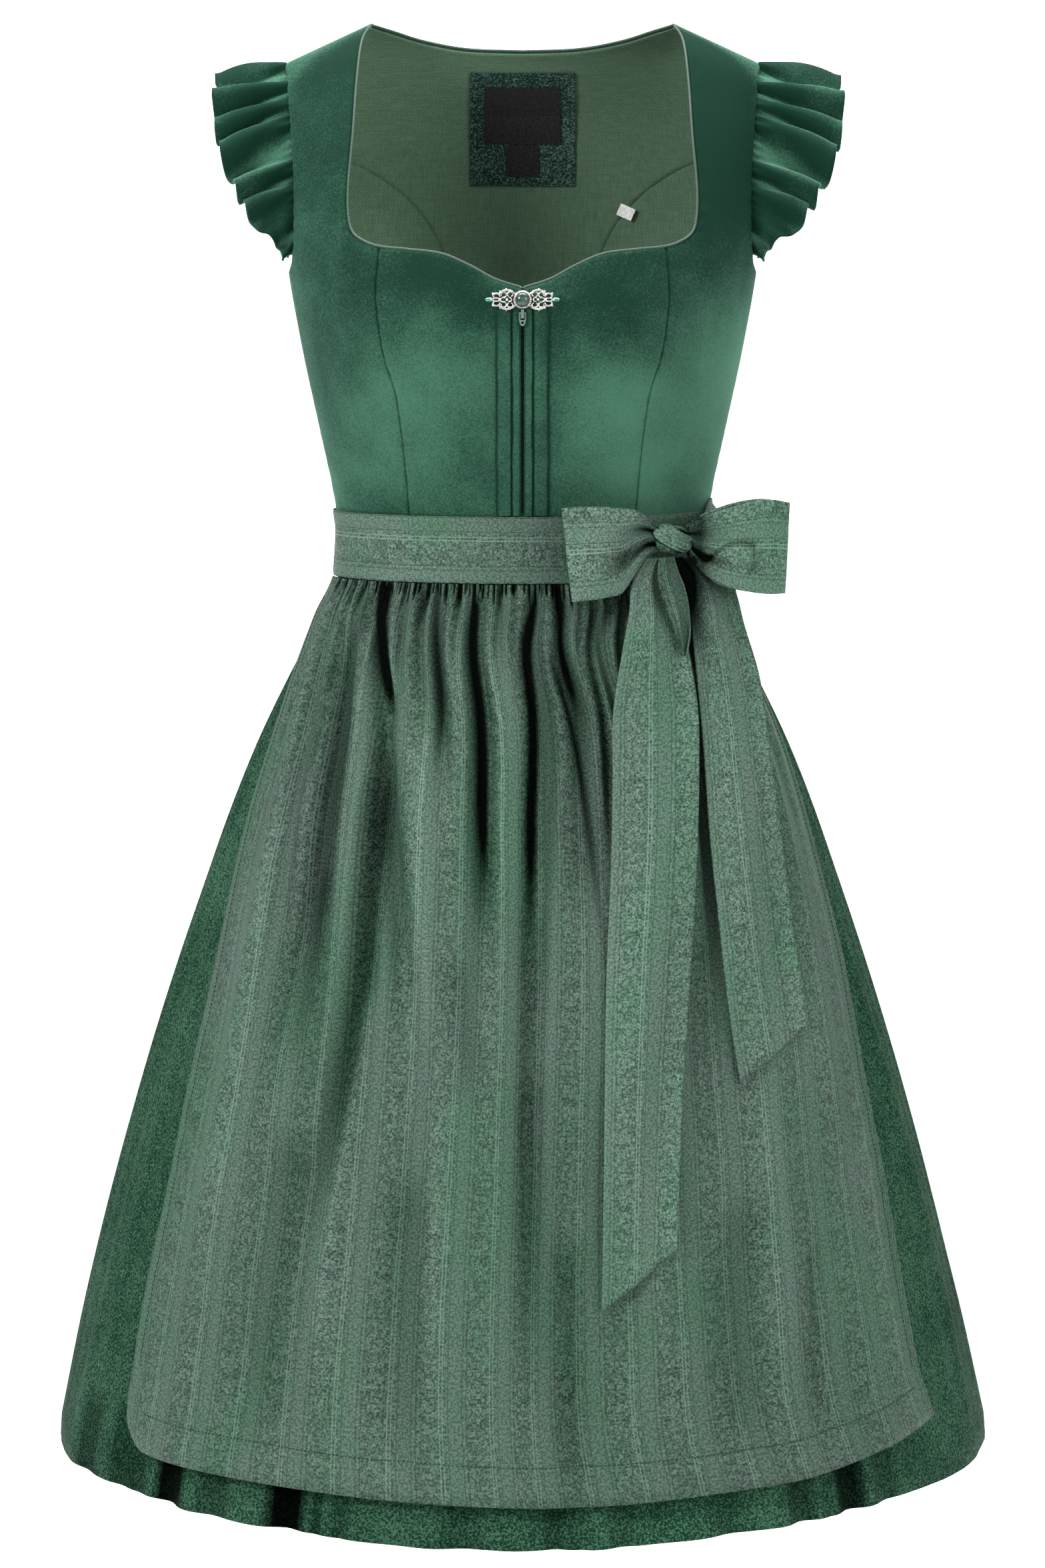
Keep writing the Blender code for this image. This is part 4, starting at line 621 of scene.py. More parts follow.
# How deep the edges of front, back and lining panels roll in at a seam
FRONT_ROLL = 0.0010
BACK_ROLL = 0.0006
LINING_ROLL = 0.0003
ROLL_WIDTH = 0.0011
PUCKER_DEPTH = 0.00022
PUCKER_PLACE = 0.0030
PUCKER_WIDTH = 0.0045
ROLL_IN_LIGHT = 0.00045  # rolls deeper than this are dark
ROLL_SHADE = 900  # shade for each metre deeper


def edge_roll(points, seams, deep):
    """How far a panel dips to its seams: a steep bell at each named edge and faint puckers beside it."""
    across = run_along(points)
    dip = np.zeros(points.shape[:2])
    for edge, away in (("near", across), ("far", across[-1:] - across)):
        if edge in seams:
            ripple = 1 + np.sin(points[..., 2] / 0.0019 + 2.0 * np.sin(points[..., 2] / 0.011))
            dip += deep * bell(away, ROLL_WIDTH)
            dip += PUCKER_DEPTH * ripple * bell(away - PUCKER_PLACE, PUCKER_WIDTH)
    return dip


def panel(name, side, edges, finish, depth, facing, seams, flat, area):
    """A bodice or lining panel, a distance behind the bodice's outer face, with its seam edges rolled in.

    Facing is -1 for a panel that stays in front of the garment's middle plane, and 1 for one behind it.
    """
    turn, place = np.broadcast_arrays(*edges)
    inward = finish is LINING_FINISH
    deep = LINING_ROLL if inward else BACK_ROLL if name.startswith("back") else FRONT_ROLL
    roll = edge_roll(bodice(turn, place), seams, deep)
    points = behind_bodice(turn, place, depth + (-roll if inward else roll))
    if facing:
        points[..., 1] = facing * np.maximum(facing * points[..., 1], CLEAR_OF_MIDDLE)
    points = mirrored(points, side)
    shade = pile(points) - ROLL_SHADE * np.maximum(roll - ROLL_IN_LIGHT, 0)[:: int(side)]
    cloth(name, points, finish, flat, "stretched", area=area, pile=shade)


def front_seam_turn(place):
    return turn_at(curve(FRONT_SEAM, column(BODICE, "height", place)), place)


def edge_places(pairs):
    return place_at(pairs[:, 0], pairs[:, 1]), pairs[:, 0]


def close_to_ends(count):
    """Shares from 0 to 1 that crowd towards both ends."""
    t = np.linspace(-1, 1, count)
    return 0.5 + 0.5 * np.sign(t) * (1 - (1 - np.abs(t)) ** (1 / 0.75))


# Points across and up each panel, and along the edges that it takes from a table
FRONT_POINTS = (56, 90)
SIDE_FRONT_POINTS = (40, 80)
NECK_POINTS = 70
BACK_SIDE_COLUMNS = 30
BACK_SEAM_POINTS = 90
BACK_NECK_POINTS = 36
SHOULDER_POINTS = 16
SHOULDER_ROWS = 30


def front_centre():
    """Turns and places from the zip to the front seam, up to the neckline."""
    edge = numbered(NECKLINE, close_to_ends(FRONT_POINTS[0]) * NECK_CORNER)
    edge = edge[np.argmax(edge[:, 0] > ZIP_HALF_GAP) - 1 :]
    places, across = edge_places(edge)
    across = np.maximum(across, ZIP_HALF_GAP)
    zip_edge = turn_at(np.full_like(places, ZIP_HALF_GAP), places)
    seam = front_seam_turn(places) - TURN_GAP
    share = np.clip((turn_at(across, places) - zip_edge) / (seam - zip_edge), 0, 1)
    share[-1] = 1.0
    place = places[:, None] * np.linspace(0, 1, FRONT_POINTS[1])[None, :]
    near = turn_at(np.full_like(place, ZIP_HALF_GAP), place)
    far = front_seam_turn(place) - TURN_GAP
    return near + (far - near) * share[:, None], place


def side_front():
    """Turns and places from the front seam and the neckline to the side seam and the armhole."""
    places, across = edge_places(dense(NECKLINE[NECK_CORNER:], NECK_POINTS))
    places = np.minimum(places, SHOULDER_PLACE)
    rows = np.linspace(0, places[0], SIDE_FRONT_POINTS[1])
    rows = np.unique(np.concatenate([rows, [UNDERARM], places[1:]]))
    neck = turn_at(np.interp(rows, places, across), rows)
    near = np.where(rows < places[0] + 1e-9, front_seam_turn(rows), neck) + TURN_GAP
    far = armhole_turn(rows) - TURN_GAP
    return near + (far - near) * close_to_ends(SIDE_FRONT_POINTS[0])[:, None], rows[None, :]


def back_edge():
    """Places and distances along the curved back seam."""
    pairs = dense(BACK_SEAM, BACK_SEAM_POINTS)
    rows = place_at(pairs[:, 1], pairs[:, 0])
    rows[np.argmin(np.abs(rows - UNDERARM))] = UNDERARM
    return rows, pairs[:, 1]


BACK_ROWS, BACK_ACROSS = back_edge()


def back_seam_turn(place):
    return math.pi - turn_at(np.interp(place, BACK_ROWS, BACK_ACROSS), place)


def back_centre_edge(place):
    """Back seam, and above its end the armhole."""
    armhole = math.pi - armhole_turn(place) + TURN_GAP
    seam = back_seam_turn(np.minimum(place, BACK_ROWS[-1])) + TURN_GAP
    return np.where(place < BACK_ROWS[-1] + 1e-9, np.maximum(seam, armhole), armhole)


def back_centre():
    """Turns and places between the two back seams and armholes, up to the neckline and shoulders."""
    places, across = edge_places(dense(BACK_NECKLINE, BACK_NECK_POINTS))
    shoulder = np.linspace(NECK_POINT, ARMHOLE[-1][1], SHOULDER_POINTS)[1:]
    across = np.concatenate([across, shoulder])
    top = np.minimum(np.concatenate([places, np.ones_like(shoulder)]), SHOULDER_PLACE)
    share = turn_at(across, top) / (math.pi - back_centre_edge(SHOULDER_PLACE))
    share[-1] = 1.0
    share = np.concatenate([share[:0:-1], -share])
    top = np.concatenate([top[:0:-1], top])
    seam_end = BACK_ROWS[-1]
    rows = np.concatenate([BACK_ROWS, np.linspace(seam_end, SHOULDER_PLACE, SHOULDER_ROWS)[1:]])
    drawn_down = ((top - seam_end) / (SHOULDER_PLACE - seam_end))[:, None]
    place = np.minimum(rows, seam_end) + np.maximum(rows - seam_end, 0) * drawn_down
    return math.pi - share[:, None] * (math.pi - back_centre_edge(rows)[None, :]), place


def back_side():
    """Turns and places between the side seam or armhole and the curved back seam."""
    near = math.pi - armhole_turn(BACK_ROWS) + TURN_GAP
    far = np.maximum(back_seam_turn(BACK_ROWS) - TURN_GAP, near + 1e-4)
    return near + (far - near) * close_to_ends(BACK_SIDE_COLUMNS)[:, None], BACK_ROWS[None, :]


def make_bodice():
    """The panels of each side, then the two that run across the back."""
    inside = VELVET + LINING_CLEAR
    far, both = ("far",), ("near", "far")
    halves = (
        ("front", front_centre(), VELVET_FINISH, 0.0, 0, far, (0.100, 0.195), 0.0165),
        ("side_front", side_front(), VELVET_FINISH, 0.0, -1, both, (0.105, 0.345), 0.0315),
        ("back_side", back_side(), VELVET_FINISH, 0.0, 1, both, (0.150, 0.262), 0.0322),
        ("lining_side", back_side(), LINING_FINISH, inside, 1, far, (0.150, 0.262), 0.0315),
    )
    for label, side in SIDES:
        for name, *cut in halves:
            panel(f"{name}_{label}", side, *cut)
    panel("back_centre", 1.0, back_centre(), VELVET_FINISH, 0.0, 1, both, (0.33, 0.345), 0.0655)
    panel("lining_centre", 1.0, back_centre(), LINING_FINISH, inside, 1, both, (0.33, 0.345), 0.0640)


# Neckline piping


def neck_edge(table, back):
    """Points beside a neckline edge, in the middle of the wall, and the way they face."""
    place, across = edge_places(dense(table, 110))
    place = np.minimum(place, SHOULDER_PLACE)
    turn = turn_at(np.maximum(across, 0.0 if back else ZIP_HALF_GAP), place)
    turn = math.pi - turn if back else turn
    middle = behind_bodice(turn, place, VELVET / 2)
    along = np.gradient(middle, axis=0)
    if back:
        along[0] = (1.0, 0.0, 0.0)
    facing = bodice_normal(turn, place)
    out = unit(np.cross(facing, unit(along))) * (-1.0 if back else 1.0)
    return middle + out * PIPING_RADIUS, facing


def pipe(name, line, facing):
    cord = tube(name, line, PIPING_RADIUS, PIPING_SIDES, facing, "piping_satin")
    fit(cord, (name,))


def make_piping():
    """Cords along both front necklines and the back one, which meet on the shoulders."""
    mirror = np.array([-1.0, 1.0, 1.0])
    line, facing = neck_edge(NECKLINE, back=False)
    line[-1, 1] -= PIPING_RADIUS
    for label, side in SIDES:
        turned = np.array([side, 1.0, 1.0])
        pipe(f"piping_front_{label}", line * turned, facing * turned)
    half, facing = neck_edge(BACK_NECKLINE, back=True)
    half[-1, 1] += PIPING_RADIUS
    pipe("piping_back", *(np.concatenate([part[:0:-1] * mirror, part]) for part in (half, facing)))


# Centre front: tucks, zip and brooch


def front_spot(across, height):
    across, height = np.broadcast_arrays(np.asarray(across, float), np.asarray(height, float))
    place = place_at(across.ravel(), height.ravel()).reshape(across.shape)
    return turn_at(across, place), place


TUCK_FULLNESS = 1.3  # width of a tuck's cloth before it is folded, as a share of the tuck's own
TUCK_AREA = 1.25
TUCK_LENGTH = 0.150
NARROWEST_CUT = 0.010
TUCK_STITCH_PITCH = 0.0032
TUCK_THREAD = 0.00028


def make_tucks():
    """Stitched tucks: each rises steeply at its sewn edge and rounds over to its fold, away from the zip."""
    height = np.linspace(TUCK_FOOT, TUCK_TOP, 90)[None, :]
    share = close_to_ends(18)[:, None]
    crown = (0.30 + 0.70 * np.sqrt(np.maximum(1 - np.abs(2 * share - 1) ** 2.6, 0))) * (0.80 + 0.20 * share)
    for label, side in SIDES:
        for name, near, far, thick in TUCKS:
            sway = 0.00025 * np.sin(height / 0.012 + near * 900) + 0.00018 * np.sin(height / 0.0047)
            spot = front_spot(near + (far - near) * share + sway * share, height)
            lift = TUCK_CLEAR + thick * crown * (1 + 0.10 * np.sin(height / 0.017 + 300 * near))
            points = mirrored(behind_bodice(*spot, -lift), side)
            # Painted shadow along each tuck's fold and its sewn edge, and a little painted shade over the
            # whole tuck
            edge_shadow = 2.4 * bell(1 - share, 0.10) + 1.5 * bell(share, 0.07)
            shade = pile(points) - 0.10 - np.broadcast_to(edge_shadow, lift.shape)[:: int(side)]
            flat = (max(NARROWEST_CUT, TUCK_FULLNESS * (far - near)), TUCK_LENGTH)
            area = TUCK_AREA * (far - near) * TUCK_LENGTH
            cloth(f"tuck_{name}_{label}", points, TUCK_FINISH, flat, "folded", area=area, pile=shade)
            if name == "outer":
                line = behind_bodice(*front_spot(0 * height[0] + far + 0.0001, height[0]), -0.0002)
                line = line * np.array([side, 1.0, 1.0])
                out = 0 * line + [0, -1.0, 0]
                stitches(f"tuck_stitch_{label}", line, out, TUCK_STITCH_PITCH, TUCK_THREAD)


ZIP_COILS = 92
COIL_STEPS = 12
COIL_SPAN = (-0.3255, -0.1990)
COIL_HALF = (0.0013, 0.0005)  # half its width and half its depth
COIL_WIRE = 0.00022


def make_zip():
    """Coil of the zip: a flat helix behind the gap. Tape, slider and pull are as their solids are."""
    t = np.linspace(0, 1, ZIP_COILS * COIL_STEPS)
    height = np.linspace(*COIL_SPAN, len(t))
    centre = behind_bodice(*front_spot(np.zeros_like(t), height), VELVET + 0.0003)
    angle = 2 * math.pi * ZIP_COILS * t
    line = centre + np.stack([COIL_HALF[0] * np.sin(angle), COIL_HALF[1] * np.cos(angle), 0 * t], axis=1)
    fit(tube("zip_coil", line, COIL_WIRE, 5, np.array([0.0, 0.35, 1.0]), "zip_tape"))
    repaint((("zip_slider", "zip_lacquer"), ("zip_pull", "zip_lacquer"), ("zip_tape", "zip_tape")))


Scroll = namedtuple("Scroll", "start end across height reach tall swell")
# One wing of the brooch, from the stone outwards: arcs of ellipses, from one angle to another in degrees
SCROLLS = rows_of(
    Scroll,
    (150, 28, 0.0107, 0.0008, 0.0068, 0.0066, 0.00072),
    (-150, -28, 0.0107, -0.0008, 0.0068, 0.0066, 0.00072), (-60, 250, 0.008, 0.004, 0.002, 0.0019, 0.00052),
    (60, -250, 0.008, -0.004, 0.002, 0.0019, 0.00052), (-20, 300, 0.0122, 0.0036, 0.0018, 0.0021, 0.00052),
    (20, -300, 0.0122, -0.0036, 0.0018, 0.0021, 0.00052),
    (200, -70, 0.0172, 0.0028, 0.0024, 0.0019, 0.0006), (-200, 70, 0.0172, -0.0028, 0.0024, 0.0019, 0.0006),
    (60, 300, 0.0085, 0.0, 0.0014, 0.0016, 0.0005), (-120, 120, 0.0125, 0.0, 0.0022, 0.0016, 0.0005),
    (160, 20, 0.0172, 0.0, 0.003, 0.0012, 0.0005), (-160, -20, 0.0172, 0.0, 0.003, 0.0012, 0.0005),
)
Ball = namedtuple("Ball", "across height radius")
BALLS = rows_of(
    Ball,
    (0.0194, 0.0043, 0.00095), (0.0194, -0.0043, 0.00095), (0.0102, 0.0, 0.00105), (0.015, 0.0, 0.0012),
    (0.0205, 0.0, 0.00085), (0.0107, 0.0078, 0.0007), (0.0107, -0.0078, 0.0007), (0.0066, 0.0056, 0.0006),
    (0.0066, -0.0056, 0.0006), (0.0147, 0.0062, 0.0006), (0.0147, -0.0062, 0.0006),
)


def ball(name, centre, radius, rows, columns):
    """Sphere: circles of latitude between two poles."""
    polar = np.linspace(0, math.pi, rows)[None, :]
    turn = circle(columns)[:, None]
    shape = [np.sin(polar) * np.cos(turn), np.cos(polar) + 0 * turn, -np.sin(polar) * np.sin(turn)]
    points = centre + np.stack(shape, axis=-1) * radius
    return welded(put(name, points.reshape(-1, 3), grid_faces(columns, rows, around=True), "silver"))


def turned(name, centre, profile, look):
    """A profile of (radius, forward) pairs, turned about the axis that runs to the front."""
    profile = np.asarray(profile, float)
    turn = circle(TURNED_STEPS)[:, None]
    shape = [profile[:, 0] * np.cos(turn), profile[:, 1] + 0 * turn, profile[:, 0] * np.sin(turn)]
    points = (centre + np.stack(shape, axis=-1)).reshape(-1, 3)
    return welded(put(name, points, closed_faces(TURNED_STEPS, len(profile)), look))


TURNED_STEPS = 48
ON_AXIS = 0.0001
SCROLL_STEPS = 22
WING_HEIGHT = 0.88  # the wings' height as a share of what the tables give
BEZEL = (
    (ON_AXIS, -0.0003), (0.0058, -0.0003), (0.0061, -0.0009), (0.0060, -0.0016), (0.0056, -0.0024),
    (0.0052, -0.0030), (0.0047, -0.0030), (0.0046, -0.0020), (ON_AXIS, -0.0020),
)
BEADS = 30
BEAD_RING = 0.0057
STONE_RADIUS = 0.0046
STONE_RISE = 0.0031


def scroll_tube(name, scroll, side, centre):
    """One scroll: an arc of an ellipse that curls in, thickest in its middle."""
    angle = np.radians(np.linspace(scroll.start, scroll.end, SCROLL_STEPS))
    curl = np.linspace(1.0, 0.86, SCROLL_STEPS)
    line = [
        side * (scroll.across + scroll.reach * curl * np.cos(angle)),
        -0.0011 - 0.0004 * np.sin(np.linspace(0, math.pi, SCROLL_STEPS)),
        WING_HEIGHT * (scroll.height + scroll.tall * curl * np.sin(angle)),
    ]
    taper = scroll.swell * (0.72 + 0.28 * np.sin(np.linspace(0.3, math.pi - 0.3, SCROLL_STEPS)))
    return tube(name, centre + np.stack(line, axis=1), taper, 8, np.array([0.0, -1.0, 0.0]), "silver")


def make_brooch():
    """Silver scrolls and balls on both sides of a beaded bezel, a round stone and two pointed ones."""
    base = bodice(*front_spot(0.0, BROOCH_HEIGHT)).ravel()
    centre = np.array([0.0, base[1] - BROOCH_STAND, base[2]])
    parts = []
    for label, side in SIDES:
        for k, scroll in enumerate(SCROLLS):
            parts.append(scroll_tube(f"scroll_{label}_{k}", scroll, side, centre))
        for k, spot in enumerate(BALLS):
            place = centre + np.array([side * spot.across, -0.0014, WING_HEIGHT * spot.height])
            parts.append(ball(f"ball_{label}_{k}", place, spot.radius, 8, 10))
        make_pointed_stone(label, side, centre)
    for k, turn in enumerate(circle(BEADS)):
        place = centre + np.array([BEAD_RING * math.cos(turn), -0.0016, BEAD_RING * math.sin(turn)])
        parts.append(ball(f"bead_{k}", place, 0.00052, 6, 8))
    parts.append(turned("bezel", centre, BEZEL, "silver"))
    fit(joined("brooch_frame_silver", parts), ("brooch_frame",))
    quarter = np.linspace(0, math.pi / 2, 12)
    arc = [(STONE_RADIUS * math.cos(a), -0.0024 - STONE_RISE * math.sin(a)) for a in quarter]
    dome = [(ON_AXIS, -0.0021), *arc[:-1], (ON_AXIS, arc[-1][1])]
    fit(turned("brooch_stone_round", centre, dome, "green_stone"), ("brooch_stone",))


GEM_SIDES = 12
GEM_RINGS = ((0.95, 0.0), (1.0, -0.0006), (0.62, -0.0013), (0.30, -0.0015))  # size and depth, back to front
GEM_HALF = (0.0029, 0.0014)
GEM_ACROSS = 0.0217


def make_pointed_stone(label, side, centre):
    """Cut stone with two points: a girdle, a raised ring of facets and a flat table."""
    turn = circle(GEM_SIDES)
    pointed = np.sign(np.cos(turn)) * np.abs(np.cos(turn)) ** 0.8 * GEM_HALF[0]
    flat = np.sin(turn) * np.abs(np.sin(turn)) ** 0.25 * GEM_HALF[1]
    rings = [np.stack([size * pointed, 0 * turn + depth, size * flat], axis=1) for size, depth in GEM_RINGS]
    points = np.stack(rings, axis=1) + centre + np.array([side * GEM_ACROSS, -0.0006, 0.0])
    name = f"brooch_gem_{label}"
    faces = closed_faces(GEM_SIDES, len(GEM_RINGS))
    gem = put(f"{name}_cut", points.reshape(-1, 3), faces, "green_glass", flat_faces=True)
    fit(welded(gem), (name,))


# Sleeves


RUFFLE_ROWS = 26
POINTS_PER_WAVE = 22
SLEEVE_CUT = (0.60, 0.051)
SLEEVE_AREA = 0.0225
SLEEVE_WIDER = {"left": 1.14, "right": 0.98}  # the ruffle's width as a share of what the table gives


def armhole_line(place):
    """Points on the left armhole's edge: 0 under the arm in front, 0.5 on the shoulder, 1 at the back."""
    rise = np.linspace(0.535, 1.0, 160)
    turn = armhole_turn(rise)
    line = np.concatenate([bodice(turn, rise), bodice(math.pi - turn, rise)[-2::-1]])
    line = line - np.array([VELVET / 2, 0.0, 0.0])
    length = run_along(line)
    return on_line(line, length, place * length[-1])


def ruffle_grid(columns, rows, wider):
    """Strip gathered to the armhole: it runs out and droops, in uneven rolls that lap at the free edge.

    Gives its points and the shade painted on it: painted shade in the troughs and at the root, and painted
    light on the ridges and towards the free edge.
    """
    even = np.linspace(0, 1, columns)
    place = even + 0.007 * turns(3, even) + 0.004 * turns(5, even)
    root = armhole_line(place)
    width = wider * column(RUFFLE, "width", place)[:, None]
    droop = np.radians(column(RUFFLE, "droop_deg", place))
    lean = column(RUFFLE, "lean", place)
    out = unit(np.stack([np.cos(droop), lean, -np.sin(droop)], axis=1))
    along = unit(np.gradient(root, place, axis=0))
    face = unit(np.cross(along, out))
    share = np.linspace(0, 1, rows)[None, :]
    size = (1.0 + 0.30 * turns(4.3, even, 1.0))[:, None]
    uneven = 0.42 * turns(2.1, even, 1.0) + 0.30 * turns(5.3, even)
    phase = 2 * math.pi * (RUFFLE_WAVES * even + uneven)[:, None]
    phase = phase + 1.9 * share * turns(3.7, even[:, None], 0.5)
    pleats = 0.20 * np.sin(2 * phase + 1.9 - 1.8 * share)
    pleats = pleats + 0.25 * np.sin(3 * phase + 0.6) * (1 - ease(share / 0.5))
    wave = size * (np.sin(phase) + pleats)
    grown = (width / 0.049) ** 0.8
    small = 0.0007 * turns(43, even[:, None]) * (1 - ease(share / 0.35)) * grown**2
    lift = wave * (0.0012 + 0.0076 * np.sin(share * math.pi * 0.56)) * grown + small
    run = -0.0012 + share * (width + 0.0022)
    points = root[:, None, :] + out[:, None, :] * run[..., None] + face[:, None, :] * lift[..., None]
    lap = 0.0056 * np.cos(phase) * ease(share / 0.9) * grown
    points += along[:, None, :] * lap[..., None]
    points[..., 2] -= 0.10 * share**2 * width
    turned_under = 0.0016 * ease((share - 0.93) / 0.07)
    points -= face[:, None, :] * turned_under[..., None]
    # Painted shade and light: ridges painted light, troughs painted shade, darker at the root and paler
    # towards the free edge
    strong = 0.70 + 0.30 * turns(5.1, even[:, None] + 0.15 * share)
    shade = 1.7 * strong * np.sin(phase + 0.4 + 0.5 * pleats) - 0.5 + 0.55 * share - 0.9 * bell(share, 0.22)
    return points, shade


def make_sleeves():
    for label, side in SIDES:
        points, shade = ruffle_grid(RUFFLE_WAVES * POINTS_PER_WAVE + 1, RUFFLE_ROWS, SLEEVE_WIDER[label])
        points = mirrored(points[:, ::-1], side)
        name, rests_on = f"sleeve_{label}", (f"side_front_{label}",)
        look = {"area": SLEEVE_AREA, "pile": shade[:: int(side), ::-1]}
        cloth(name, points, VELVET_FINISH, SLEEVE_CUT, "gathered", rests_on, **look)


# Skirt


def skirt_place(height):
    rows = sorted(SKIRT, key=lambda row: row.height)
    return np.interp(height, [r.height for r in rows], [r.place for r in rows])


def out_of_ring(turn, place):
    """Level direction that leaves a skirt ring squarely."""
    small = 1e-3
    along = ring_point(SKIRT, turn + small, place) - ring_point(SKIRT, turn - small, place)
    along[..., 2] = 0.0
    along = unit(along)
    return np.stack([along[..., 1], -along[..., 0], along[..., 2]], axis=-1)


def skirt_fold(turn):
    """0 on the ridges of the skirt's folds and 1 in their troughs, unevenly spaced and deep."""
    uneven = 0.30 * np.sin(3 * turn + 0.8) + 0.22 * np.sin(7 * turn + 2.1)
    depth = 0.80 + 0.20 * np.sin(5 * turn + 0.4)
    return depth * (0.5 - 0.5 * np.cos(SKIRT_FOLDS * turn + uneven * 2.0))


SKIRT_ROWS = 60
POINTS_PER_FOLD = 16
SKIRT_LENGTH = 0.66
UNDER_APRON = math.radians(60)  # folds are shallower up to this turn, where the apron lies on them
APRON_EDGE = math.radians(15)
SIDE_FROM = math.radians(46)  # the skirt's sides hang smooth between these turns
SIDE_EASE = math.radians(12)
SIDE_TO = math.radians(125)
HEM_STARTS = 0.84  # place at which the skirt starts to turn into its hem
# Painted light along the hem: this much shade is taken off it, which makes it paler
HEM_PAINTED_LIGHT = 0.24


def skirt_grid(first, last, columns, rows):
    """Ring points moved inward by the folds, which are narrow troughs at the waist and soft ones below."""
    turn = np.linspace(first, last, columns)[:, None]
    place = (0.001 + 0.999 * np.linspace(0, 1, rows) ** 1.35)[None, :]
    turn, place = np.broadcast_arrays(turn, place)
    depth = column(SKIRT_DEPTH, "depth", place)
    wrapped = (turn + math.pi) % (2 * math.pi) - math.pi
    away = np.abs(wrapped)
    fade = 1.0 - 0.55 * ease((UNDER_APRON - away) / APRON_EDGE) * ease((0.9 - place) / 0.5)
    fold_shape = skirt_fold(turn)
    sharp = fold_shape ** (1.0 + 1.2 * (1 - ease(place / 0.5)))
    at_side = ease((away - SIDE_FROM) / SIDE_EASE) * ease((SIDE_TO - away) / 0.3)
    fade = fade * (1 - 0.85 * at_side * ease(place / 0.12))
    slow = 0.0016 * np.sin(13 * turn + 5.0 * place) * ease(place / 0.4)
    low = ease((place - HEM_STARTS) / (1 - HEM_STARTS))
    fine = 0.0006 * np.sin(61 * turn + 2.0 * np.sin(3 * place)) * (1 - 0.85 * low)
    inward = depth * fade * sharp + 0.0016 - slow * 0.9 + fine
    inward = inward + 0.0022 * at_side * ease((place - 0.985) / 0.015) ** 2
    # Painted shade in the hem folds below the apron
    hem_shade = 0.0
    for fold in HEM_FOLDS:
        shape = bell(np.degrees(wrapped) - fold.turn_deg, 0.8 * fold.half_deg)
        inward = inward + fold.depth * low * shape
        dark = fold.shade * np.clip(3.2 * shape - 0.3, 0, 1.15)
        hem_shade = hem_shade + dark * ease((place - 0.90) / 0.04)
    points = ring_point(SKIRT, turn, place) - out_of_ring(turn, place) * np.maximum(inward, 0.0)[..., None]
    # Painted light along the hem, stronger on the wearer's left; painted shade in the back folds and painted
    # light on their ridges; a little painted shade on the sides
    at_back = ease((away - 1.7) / 0.5)
    painted_light_tilt = 0.30 * np.sin(np.clip(3 * wrapped, -math.pi / 2, math.pi / 2)) * bell(wrapped, math.radians(42))
    hem_shade = hem_shade - (HEM_PAINTED_LIGHT + painted_light_tilt) * low * (1 - 0.8 * at_side)
    hem_shade = hem_shade + 0.40 * (fold_shape - 0.4) * at_back
    return points, np.clip(hem_shade + 0.03 * at_side, -1, 1)


def make_skirt():
    front, back = (math.radians(angle) for angle in SKIRT_SEAMS_DEG)
    panels = (
        ("skirt_front", -front, front, 0.56, 0.285),
        ("skirt_left", front, back, 0.36, 0.182),
        ("skirt_back", back, 2 * math.pi - back, 0.56, 0.285),
        ("skirt_right", 2 * math.pi - back, 2 * math.pi - front, 0.36, 0.182),
    )
    for name, first, last, width, area in panels:
        columns = int(round((last - first) / (2 * math.pi) * SKIRT_FOLDS * POINTS_PER_FOLD)) + 1
        points, shade = (values[:, ::-1] for values in skirt_grid(first, last, columns, SKIRT_ROWS))
        flat = (width, SKIRT_LENGTH)
        cloth(name, points, SKIRT_FINISH, flat, "gathered", ("front_left",), area=area, shade=shade)


# Apron


def apron_relief(across, height):
    """Share of the reach at which the apron stands: 1 on a ridge, near 0 in a deep fold."""
    relief = np.ones(np.broadcast(across, height).shape)
    down = np.clip((BAND_FOOT - height) / (BAND_FOOT - APRON_HEM), 0, 1)
    for fold in APRON_FOLDS:
        centre = fold.top + (fold.foot - fold.top) * ease(down * 1.6)
        started = 1.0 if fold.start > BAND_FOOT else ease((fold.start - height) / 0.12)
        fading = ease((height - fold.end) / ((BAND_FOOT - fold.end) * 0.75))
        spread = fold.half_width * (1.0 + 0.8 * down)
        relief = relief - fold.depth * started * fading * bell(across - centre, spread)
    return np.clip(relief, 0.03, 1.0)


def apron_turn(across, height):
    right = np.radians(column(APRON, "right_deg", height))
    left = np.radians(column(APRON, "left_deg", height))
    return right + (left - right) * across


def hem_rise(across):
    """How far the apron's hem rises: a little towards both sides, and a rounded corner at the right."""
    swing = 0.0015 * (1 - bell(across - 0.52, 0.2))
    swing = swing + APRON_HEM_SWING * np.clip((across - 0.78) / 0.22, 0, 1) ** 1.3
    corner = 1 - np.sqrt(np.clip(1 - (np.clip(APRON_ROUND - across, 0, None) / APRON_ROUND) ** 2, 0, 1))
    return swing + APRON_ROUND_RISE * corner


